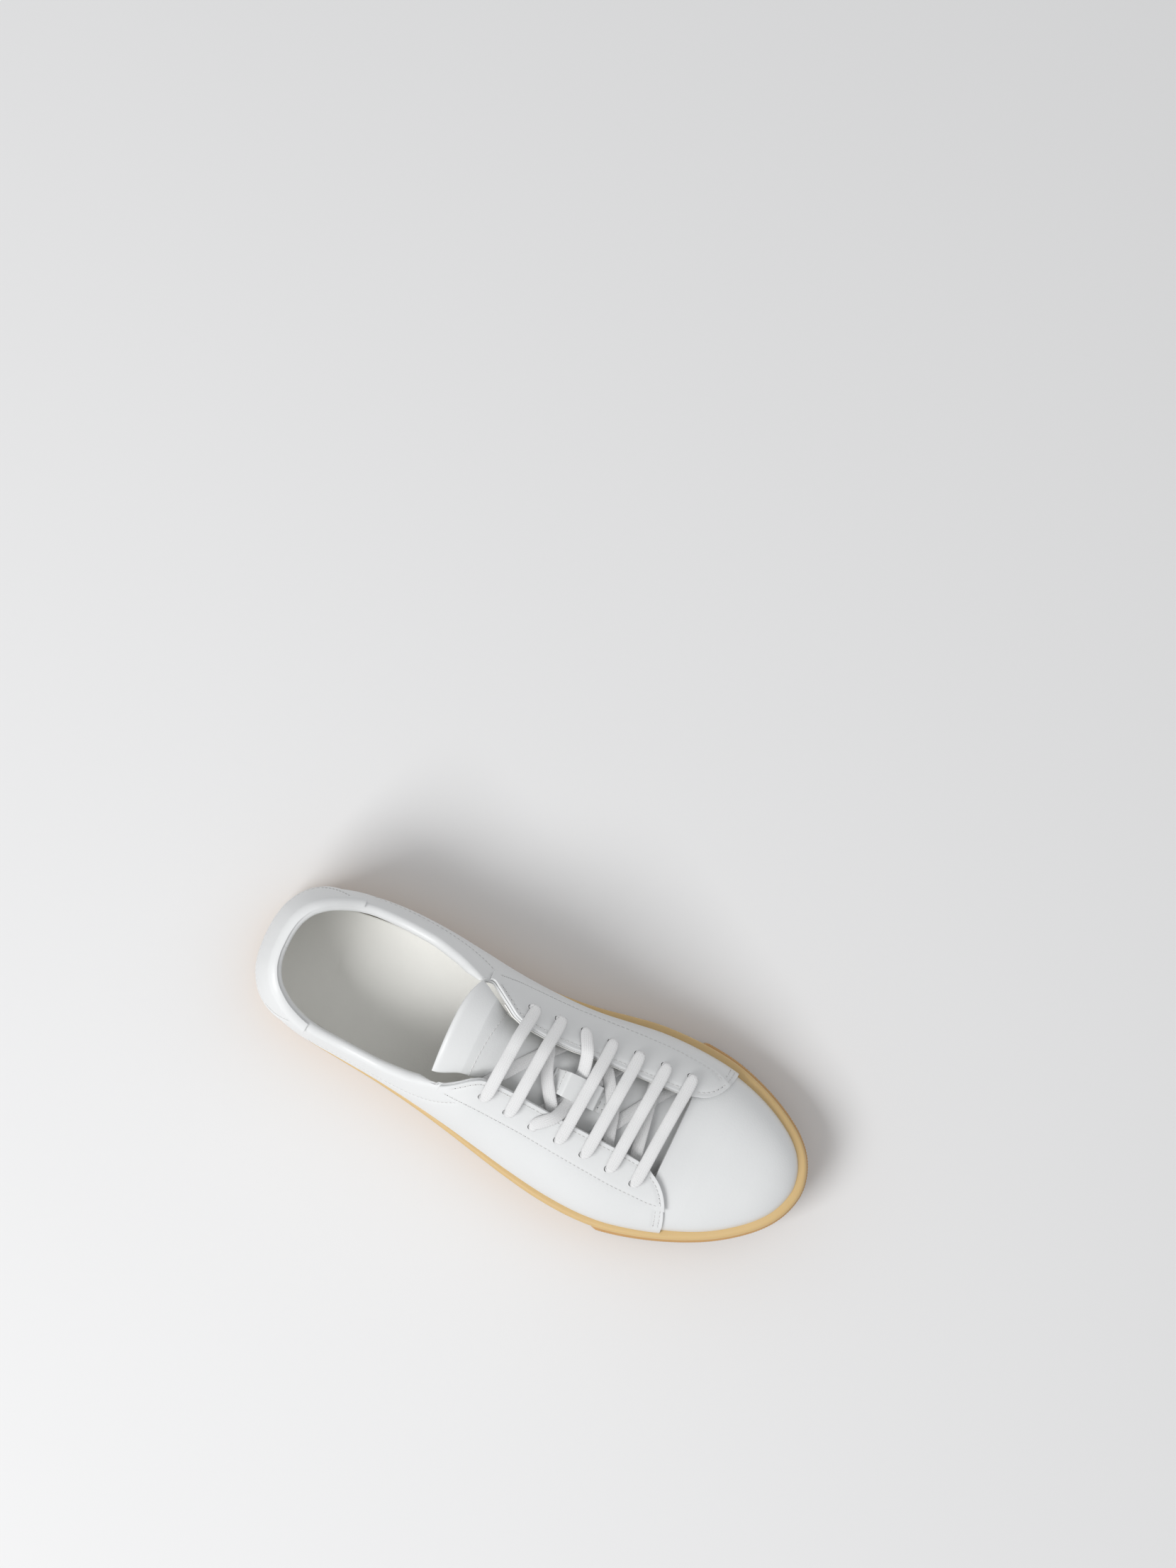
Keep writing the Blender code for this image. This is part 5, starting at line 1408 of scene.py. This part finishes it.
# the heel lining's front edges run down and forward, so they are given row by row
slant = np.interp(np.linspace(0, 1, LINING_ROWS), [0, 0.3, 0.55, 0.8, 1.0], [103, 97, 92, 85, 76]) * GX
heel_l, heel_m = w_at(-1, slant), w_at(1, slant)
one_gap = GAP / LOOP_LENGTH
whole = np.ones(LINING_ROWS)
linings = []
for name, w_from, w_to, columns in (
        ("heel_lining_leather", heel_l, heel_m, 170),
        ("side_lining_lateral", whole * float(w_at(-1, 209 * GX)), heel_l - one_gap, 110),
        ("side_lining_medial", heel_m + one_gap, whole * float(w_at(1, 209 * GX)), 110)):
    net = lining_net(w_from, w_to, columns)
    linings.append(report(leather_sheet(name, net, LINING, LINING_MAT, edge=0.2)))

# %% Footbed
BED_COLUMNS = 240
bed_w = np.arange(BED_COLUMNS) / BED_COLUMNS
bed_lip = lip_z(sole_edge(bed_w)[:, 0])


def bed_ring(z, off):
    p = skin(bed_w, t_at_z(bed_w, np.maximum(z, bed_lip - LIP_DEPTH)), np.full(BED_COLUMNS, off))
    p[:, 2] = z
    return p


bed_top = bed_lip - LIP_DEPTH + 5.4
rim = FOOTBED - GAP
bed_rings = [bed_ring(bed_lip - LIP_DEPTH, rim), bed_ring(bed_top - 1.0, rim),
             bed_ring(bed_top - 0.4, rim - 0.15), bed_ring(bed_top - 0.1, rim - 0.5), bed_ring(bed_top, rim - 1.1)]
for share in (0.03, 0.08, 0.16, 0.28, 0.42, 0.58, 0.74, 0.88):
    dish = 1.1 * math.sin(0.5 * math.pi * share) ** 2
    bed_rings.append(towards_middle(bed_rings[4], share, bed_top - dish))
footbed = ringed("footbed", bed_rings, LINING_MAT)
smooth(footbed, 50)
report(footbed)

# %% [markdown]
# ## Tongue
# The tongue is a padded strap under the lace. It is made whole, from its seam under the vamp to
# its free end over the ankle, and it bends at the fold, so its mesh is fine there. Each
# section is a closed oval: leather above, lining below, and a soft rounded edge.

# %% Tongue
HINGE_X, FOLD_Z = 119.0 * GX, 100.2 * GZ
TONGUE_DEEP = TONGUE_T + GAP + 0.1 + TONGUE_PAD + GAP + 0.1 + LINING
TONGUE_END = 231.0 * GX
crest = curve([(100 * GX, 106.6 * GZ), (110 * GX, 103.4 * GZ), (119 * GX, FOLD_Z)])
HALF = 40


def tongue_mid(x, v, d):
    """The tongue's face at station x and share v across, d below its top face."""
    y_l, y_m = throat_y[-1](x) - 7.0 * GY, throat_y[1](x) + 7.0 * GY
    y = y_l + (y_m - y_l) * (v + 1) / 2
    return crown_point(x, y, TONGUE_TOP - d)


def flap_mid(u, v, d):
    """The free end: u from the fold to its rear edge, v across."""
    end_x = (101.0 + 1.4 * v ** 2 + np.where(v > 0, 3.6 * v ** 3, 0)) * GX
    x = HINGE_X + (end_x - HINGE_X) * u
    y = v * (19.6 + 5.4 * ramp(u, 0, 1)) * GY
    z = crest(x) - 8.0 * np.abs(y / (25.0 * GY)) ** 2.2 - d
    return np.stack([x, y - 0.8 * GY, z], -1)


def oval(thick_share):
    """Across share and depth of one closed section, top side first: a padded strap's outline."""
    a = np.linspace(0, 2 * math.pi, 2 * HALF, endpoint=False)
    v = np.sign(np.cos(a)) * np.abs(np.cos(a)) ** 0.55
    h = np.sign(np.sin(a)) * np.abs(np.sin(a)) ** 0.55
    return -v, (0.5 - 0.5 * h * thick_share)


def tongue_section(station):
    """Station 0 is the rear edge, 1 the fold, and from there on x runs forward."""
    edge = np.sqrt(np.clip(1 - (1 - np.clip(station / 0.16, 0, 1)) ** 2, 0, 1)) if station < 0.16 else 1.0
    v, depth = oval(max(float(edge), 0.05))
    puff = 0.25 * (1 - v ** 2)
    deep = depth * TONGUE_DEEP - puff * np.where(depth < 0.5, 1, -1)
    if station <= 1:
        return flap_mid(np.full_like(v, 1 - station), v * 0.995, deep)
    x = np.full_like(v, HINGE_X + (station - 1) * (TONGUE_END - HINGE_X))
    return tongue_mid(x, v * 0.995, deep)


fold_zone = 0.09
stations = np.concatenate([[0.0, 0.012, 0.03, 0.06, 0.1], np.linspace(0.16, 0.8, 26),
                           np.linspace(1 + fold_zone, 2, 120)])
sections = [tongue_section(s) for s in stations]
start, stop = sections[30], sections[31]
before, after = sections[29], sections[32]
bridge = []
for u in np.linspace(0, 1, 12)[1:-1]:
    h1, h2 = (start - before) * 3.4, (after - stop) * 4.2
    bridge.append(start * (1 + 2 * u) * (1 - u) ** 2 + stop * u * u * (3 - 2 * u)
                  + h1 * u * (1 - u) ** 2 - h2 * u * u * (1 - u))
sections = sections[:31] + bridge + sections[31:]
mats = [WHITE, LINING_MAT]
tongue = ringed("padded_tongue", sections, mats)
under_side = np.array([f.normal.z <= -0.15 for f in tongue.data.polygons])
tongue.data.polygons.foreach_set("material_index", under_side.astype(np.int32))
smooth(tongue, 60)
report(tongue)

# %% [markdown]
# ## Lace keeper
# A short strap sewn across the tongue holds one bar of the lace, so it rises over that bar and
# lies flat at both sewn ends.

# %% Keeper
rise = KEPT + LACE_T / 2 + 0.7 - TONGUE_TOP - GAP


def keeper_face(x, y, more=0.0):
    lift = GAP + rise * ramp(x, 161 * GX, 165.2 * GX) * (1 - ramp(x, 182 * GX, 186.5 * GX))
    return crown_point(x, y, TONGUE_TOP + lift + KEEPER_T + 0.25 + more)


kx, ky = np.meshgrid(np.linspace(160, 190.5, 90) * GX, np.linspace(-10.2, 2.4, 34) * GY, indexing="ij")
seam_x = [161.1, 163.3, 186.9, 189.3]
sunk = sum(0.16 * np.exp(-((kx - x * GX) / 0.7) ** 2) for x in seam_x)
keeper = report(leather_sheet("keeper_strap", keeper_face(kx, ky, -sunk), KEEPER_T, WHITE, edge=0.25))

# %% [markdown]
# ## Lace
# One flat cotton lace is threaded through all fourteen holes: straight bars outside, slanted
# runs inside, and both tips tucked in. Its route is a list of points at the holes and between
# them, each saying how flat the lace lies and which way its width runs.

# %% Lace route
FORWARD = np.array([1.0, 0, 0])
UNDER = {0: UNDER_0, 1: UNDER_1}
ASIDE = {1: -3.5, 3: 4.2, 4: 2.4}


def hole_point(side, k, d, across=0.0):
    """A point on a hole's own axis, d off the surface, moved across towards the throat."""
    p, n = hole_at[side, k], hole_dir[side, k]
    q = np.array([0, -side, 0.0])
    q -= n * q.dot(n)
    return p + n * d + q / np.linalg.norm(q) * across


def over_instep(x, y, d):
    return np.array(crown_point(x, y, d)).reshape(3)


def ends_of_bar(side, k):
    return [(0.0, hole_point(side, k, 1.4), FORWARD),
            (0.0, hole_point(side, k, TOP_LIFT + 0.3, 0.1), FORWARD),
            (0.9, hole_point(side, k, TOP_LIFT + 0.6, 3.8), FORWARD)]


def bar(k):
    """A bar over row k from the outer hole to the inner one; row 2 dips under the keeper."""
    a, b = hole_at[-1, k], hole_at[1, k]
    if k == 2:
        dip = [(164.5, -19.8, TOP_LIFT + 0.1), (169.5, -14.3, -0.1), (171, -10.4, KEPT),
               (171, -4, KEPT - 0.15), (171, 2.8, KEPT), (170, 6.8, -0.1), (166, 12.4, TOP_LIFT + 0.1)]
        middle = [(1.0, over_instep(x * GX, y * GY, d), FORWARD) for x, y, d in dip]
    else:
        middle = []
        for f in (0.3, 0.5, 0.7):
            m = a * (1 - f) + b * f
            lift = TOP_LIFT + 0.2 - 0.8 * (1 - abs(2 * f - 1))
            middle.append((1.0, over_instep(m[0], m[1], lift), FORWARD))
    return ends_of_bar(-1, k) + middle + ends_of_bar(1, k)[::-1]


def under(k_from, k_to, layer):
    """A slanted run passing inside from an inner hole to an outer hole of another row."""
    a, b = hole_at[1, k_from], hole_at[-1, k_to]
    way = np.cross(b - a, [0, 0, 1.0])
    way *= math.copysign(1, way[0]) / np.linalg.norm(way)
    d = UNDER[layer]
    middle = []
    for f in (0.24, 0.5, 0.76):
        m = a * (1 - f) + b * f
        aside = ASIDE.get(k_from, 0.0) * (1 - abs(2 * f - 1))
        middle.append((1.0, over_instep(m[0] + aside, m[1], d), way))
    first = [(0.0, hole_point(1, k_from, -1.3), FORWARD), (0.3, hole_point(1, k_from, d, 1.2), FORWARD)]
    last = [(0.3, hole_point(-1, k_to, d, 1.2), FORWARD), (0.0, hole_point(-1, k_to, -1.3), FORWARD)]
    return first + middle + last


def tail(side, k):
    """The end of the lace tucked down inside, clear of the tongue."""
    pts = [(0.0, hole_point(side, k, -1.3), FORWARD)]
    w = w_at(side, hole_at[side, k][:1])
    t = t_at_y(side, w, hole_at[side, k][1:2])
    for down, d in ((3.0, -3.4), (8.0, -5.6), (13.0, -6.2)):
        at = below(w, t, np.array([down]))
        pts.append((0.2, skin(w, at, np.array([d]))[0], FORWARD))
    return pts


route = tail(-1, 1)[::-1]
for first, then, layer in ((1, 3, 0), (3, 5, 0), (5, 6, 0), (6, 4, 1), (4, 2, 1), (2, 0, 1)):
    route += bar(first) + under(first, then, layer)
route += bar(0) + tail(1, 0)
LACE_STEPS = 9
lace_path = curve_through([p for _, p, _ in route], LACE_STEPS)
lace_ways = curve_through([n for _, _, n in route], LACE_STEPS)
lace_flat = curve_through([[f] for f, _, _ in route], LACE_STEPS)[:, 0].clip(0, 1)
lace_run = np.concatenate([[0], np.cumsum(np.linalg.norm(np.diff(lace_path, axis=0), axis=1))])
print("lace length", round(lace_run[-1]), "mm")

# %% Lace body
LACE_SIDES = 20


def lace_section(i):
    """One closed section: a flat tube with full edges where it lies flat, bunched in a hole."""
    d = lace_path[min(i + 1, len(lace_path) - 1)] - lace_path[max(i - 1, 0)]
    d /= np.linalg.norm(d)
    side_way = lace_ways[i] - d * lace_ways[i].dot(d)
    side_way /= np.linalg.norm(side_way)
    up = np.cross(side_way, d)
    flat = lace_flat[i]
    a = (LACE_ROUND + (LACE_W - LACE_ROUND) * flat) / 2
    b = (LACE_ROUND * 0.8 + (LACE_T - LACE_ROUND * 0.8) * flat) / 2
    ring = []
    for q in np.arange(LACE_SIDES) * 2 * math.pi / LACE_SIDES:
        c, s = math.cos(q), math.sin(q)
        u = math.copysign(abs(c) ** (1 - 0.18 * flat), c)
        v = math.copysign(abs(s) ** (1 - 0.3 * flat), s) * (1 - 0.10 * flat * (1 - u * u))
        ring.append(lace_path[i] + side_way * a * u + up * b * v)
    return np.array(ring)


def lace_piece():
    rings = [lace_section(i) for i in range(len(lace_path))]
    n = LACE_SIDES
    faces, uvs = [], []
    girth = 2 * (LACE_W + LACE_T)
    for k in range(len(rings) - 1):
        a, b = k * n, (k + 1) * n
        for i in range(n):
            faces.append((a + i, a + (i + 1) % n, b + (i + 1) % n, b + i))
            u0, u1 = girth * i / n, girth * (i + 1) / n
            uvs += [(u0, lace_run[k]), (u1, lace_run[k]), (u1, lace_run[k + 1]), (u0, lace_run[k + 1])]
    for base in (0, (len(rings) - 1) * n):
        ring = [base + i for i in range(n)]
        faces.append(tuple(ring[::-1] if base == 0 else ring))
        uvs += [(0.0, 0.0)] * n
    obj = new_piece("cotton_lace", np.vstack(rings), faces, COTTON)
    obj.data.uv_layers.new(name="pattern").data.foreach_set("uv", np.array(uvs, np.float32).ravel())
    return closed_skin(obj)


lace = lace_piece()
smooth(lace, 70)
report(lace)

# %% [markdown]
# ## Leather seams
# Every seam line set out earlier now gets its thread, and near-black dots of painted shade where
# its needle holes are. The thread lies in the groove that was pinched for it, a little proud of its bottom.

# %% Seam rows
SEAM_LIFT = 0.12
FACE_OF = {"quarter": Q_OUT, "stay": STAY_OUT, "tab": Q_OUT + TAB_LIFT}
STITCH = {"Pitch": 0.00255, "Length": 0.00195, "Radius": 0.00021, "Seed": 11, "Finish": THREAD}
HOLE_SHADE_DOTS = {"Pitch": 0.00255, "Radius": 0.00030, "Finish": NEEDLE_HOLE_SHADE}


def row_of(line, d, sink=PINCH):
    p = surface(line[:, 0], line[:, 1])
    n = outward(line[:, 0], line[:, 1])
    return p + n * (d + hide_swell(p) - sink)[:, None], n


def shown_part(name, line):
    """Leave out what an upper layer covers: the side seam stops at the eyestay."""
    if not name.startswith("side_"):
        return line
    side = -1 if name.endswith("lateral") else 1
    p = surface(line[:, 0], line[:, 1])
    return line[side * p[:, 1] > side * stay_y[side](p[:, 0])]


rows = []
for name, (on, line) in seams.items():
    line = shown_part(name, line)
    rows.append(row_of(line, FACE_OF[on]))
keeper_rows = []
for x in seam_x:
    y = np.linspace(-9.2, 1.4, 14) * GY
    p = keeper_face(np.full(14, x * GX), y, -0.16)
    n = crown_point(np.full(14, x * GX), y, 1.0) - crown_point(np.full(14, x * GX), y, 0.0)
    n /= np.linalg.norm(n, axis=1)[:, None]
    keeper_rows.append((p, n))
rows += keeper_rows
leather_seams = grown("leather_stitches", [(p + SEAM_LIFT * n, n) for p, n in rows], THREADS, STITCH)
# dark dots just under the thread's groove: painted shade of the needle holes
needle_hole_shade = grown("needle_hole_shade", [(p - 0.02 * n, n) for p, n in rows], HOLE_SHADE_TREE, HOLE_SHADE_DOTS)

# %% [markdown]
# ## Seams inside
# The heel lining is sewn over the side linings, and the tongue's cover is closed by a row just
# in front of its fold. The tongue's row is laid on the tongue's own face, so it is a piece of its own.

# %% Inside and tongue rows
def laid_on(piece, points, lift, ways=None):
    """Lay points on a finished piece, lift millimetres above its face."""
    tree = BVHTree.FromObject(piece, bpy.context.evaluated_depsgraph_get())
    spots, normals = [], []
    for i, p in enumerate(to_frame(points)):
        spot, normal = (tree.find_nearest(p) if ways is None else tree.ray_cast(p, ways))[:2]
        if spot is None:
            continue
        spots.append(np.array(spot) * 1000 - ORIGIN + np.array(normal) * lift)
        normals.append(np.array(normal))
    return np.array(spots), np.array(normals)


lining_rows = []
share = np.linspace(0.25, 0.93, 90)
for w_edge, side in ((heel_l, -1), (heel_m, 1)):
    w = np.interp(share, np.linspace(0, 1, LINING_ROWS), w_edge) - side * 2.2 / LOOP_LENGTH
    high = below(w, top_t(side, w), ROLL_DROP + 0.95)
    inner = surface(w, high * share) + outward(w, high * share) * (LINING_OUT - LINING - 1.0)
    lining_rows.append(laid_on(linings[0], inner, 0.15))
inside_seams = grown("lining_stitches", lining_rows, THREADS, STITCH)
v = np.linspace(-0.93, 0.93, 70)
high_up = tongue_mid(HINGE_X + 2.0 + 2.5 * (v + 1), v, 0.0) + np.array([0, 0, 60.0])
tongue_seam = grown("tongue_stitches", [laid_on(tongue, high_up, 0.12, Vector((0, 0, -1)))], THREADS, STITCH)

# %% [markdown]
# ## Hidden layers and tips
# Foam, board, felt and the lace's tips keep their CAD shape, which is right already; they only
# take a finish of their own.

# %% Finishes of the frame's own nodes
KEPT_NODES = {"midsole_filler": FOAM_MAT, "insole_board": BOARD_MAT, "toe_puff": FELT_MAT,
              "collar_foam": FOAM_MAT, "heel_counter": FELT_MAT, "vamp_lining": LINING_MAT,
              "eyestay_tape_lateral": LINING_MAT, "eyestay_tape_medial": LINING_MAT,
              "aglet_a": PLASTIC, "aglet_b": PLASTIC}
for name, mat in KEPT_NODES.items():
    node = frame["nodes"][name]
    node.data.materials.clear()
    node.data.materials.append(mat)
print("finished", len(KEPT_NODES), "CAD nodes")

# %% [markdown]
# ## Tie the pieces to their body
# Each piece says which body it rides on, which CAD nodes it stands for and which finish of the
# record it takes. The tongue and its row are tied to no body; they stay where they were made.

# %% Bodies, replaced nodes and slots
RIDES = [
    (sole, "cupsole", "gum_rubber"), (sole_stitch, "sole_stitch", "stitch_thread"),
    (dots, None, "gum_rubber"), (vamp, "vamp", "white_leather"),
    (quarters[-1], "quarter_lateral", "white_leather"), (quarters[1], "quarter_medial", "white_leather"),
    (heel_tab, "heel_tab", "white_leather"), (stays[-1], "eyestay_lateral", "white_leather"),
    (stays[1], "eyestay_medial", "white_leather"), (linings[0], "heel_lining", "lining_leather"),
    (linings[1], "quarter_lining_lateral", "lining_leather"),
    (linings[2], "quarter_lining_medial", "lining_leather"),
    (keeper, "lace_keeper", "white_leather"), (lace, "lace", "lace_cotton"),
    (leather_seams, None, "stitch_thread"), (needle_hole_shade, None, "stitch_thread"),
    (inside_seams, None, "stitch_thread")]
for piece, node, finish in RIDES:
    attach(piece, "shoe")
    if node:
        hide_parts(node)
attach(footbed, "shoe")
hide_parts("sock_liner", "footbed_foam")
for piece in (tongue, tongue_seam):
    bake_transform(piece)
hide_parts("tongue_cover", "tongue_foam", "tongue_lining",
            "tongue_top_cover", "tongue_top_foam", "tongue_top_lining")
print("pieces tied")

# %% [markdown]
# ## Floor, light and camera
# A pale floor, one large soft light beyond the shoe's outer side, and a weak fill opposite. The
# camera looks almost straight down, from 1.8 m up.

# %% Floor
def floor_material():
    mat = bpy.data.materials.new("pale floor")
    mat.use_nodes = True
    tree = mat.node_tree
    shader = tree.nodes["Principled BSDF"]
    cloud = tree.nodes.new('ShaderNodeTexNoise')
    cloud.inputs["Scale"].default_value = 1.5
    span = tree.nodes.new('ShaderNodeMapRange')
    span.inputs["To Min"].default_value, span.inputs["To Max"].default_value = 0.80, 0.82
    tree.links.new(tree.nodes.new('ShaderNodeTexCoord').outputs["Object"], cloud.inputs["Vector"])
    tree.links.new(cloud.outputs["Fac"], span.inputs["Value"])
    tone = tree.nodes.new('ShaderNodeCombineColor')
    for channel in tone.inputs:
        tree.links.new(span.outputs[0], channel)
    tree.links.new(tone.outputs[0], shader.inputs["Base Color"])
    shader.inputs["Roughness"].default_value = 0.9
    return mat


floor_mesh = bpy.data.meshes.new("floor")
floor_mesh.from_pydata([(-4, -4, 0), (4, -4, 0), (4, 4, 0), (-4, 4, 0)], [], [(0, 1, 2, 3)])
floor_mesh.materials.append(floor_material())
floor = bpy.data.objects.new("floor", floor_mesh)
floor.location.z = -0.0002
bpy.context.scene.collection.objects.link(floor)
floor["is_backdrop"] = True
print("floor laid")

# %% Camera
RIGHT = Vector((0.9030, 0.4266, 0.0555)).normalized()
BACK = Vector((-0.0235, -0.0800, 0.9966)).normalized()
UP = BACK.cross(RIGHT).normalized()
RIGHT = UP.cross(BACK)
CAMERA_PLACE = (71.0, -5.0, 1804.0)
camera = bpy.data.objects.new("camera", bpy.data.cameras.new("camera"))
camera.data.lens, camera.data.sensor_width = 80.94, 36.0
camera.data.clip_end = 20
turned = Matrix((RIGHT, UP, BACK)).transposed().to_4x4()
camera.matrix_world = Matrix.Translation(Vector(to_frame(np.array(CAMERA_PLACE)))) @ turned
bpy.context.scene.collection.objects.link(camera)
bpy.context.scene.camera = camera
print("camera at", np.round(camera.location, 3))


# %% Lights
def soft_light(name, right, up, height, size, power):
    """A square area light, placed along the view's own directions and aimed at the shoe."""
    lamp = bpy.data.lights.new(name, 'AREA')
    lamp.shape, lamp.size, lamp.energy = 'SQUARE', size, power
    obj = bpy.data.objects.new(name, lamp)
    flat_right, flat_up = Vector((RIGHT.x, RIGHT.y, 0)), Vector((UP.x, UP.y, 0))
    obj.location = flat_right * right + flat_up * up + Vector((0, 0, height))
    obj.rotation_euler = obj.location.to_track_quat('Z', 'Y').to_euler()
    bpy.context.scene.collection.objects.link(obj)
    return obj


soft_light("key", -1.05, -0.70, 1.65, 0.9, 27)
soft_light("fill", 1.0, 0.6, 2.2, 1.6, 4)
world = bpy.data.worlds.new("studio")
world.use_nodes = True
world.node_tree.nodes["Background"].inputs[0].default_value = (0.98, 0.985, 1.0, 1)
world.node_tree.nodes["Background"].inputs[1].default_value = 0.47
bpy.context.scene.world = world
bpy.context.scene.view_settings.view_transform = 'Standard'
print("studio lit")

# %% [markdown]
# ## Sizes
# The dressed shoe must keep the frame's size, so its box is printed.

# %% Print the dressed box and finish
low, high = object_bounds()
print("dressed box", [round(v * 1000, 1) for v in high - low], "mm")
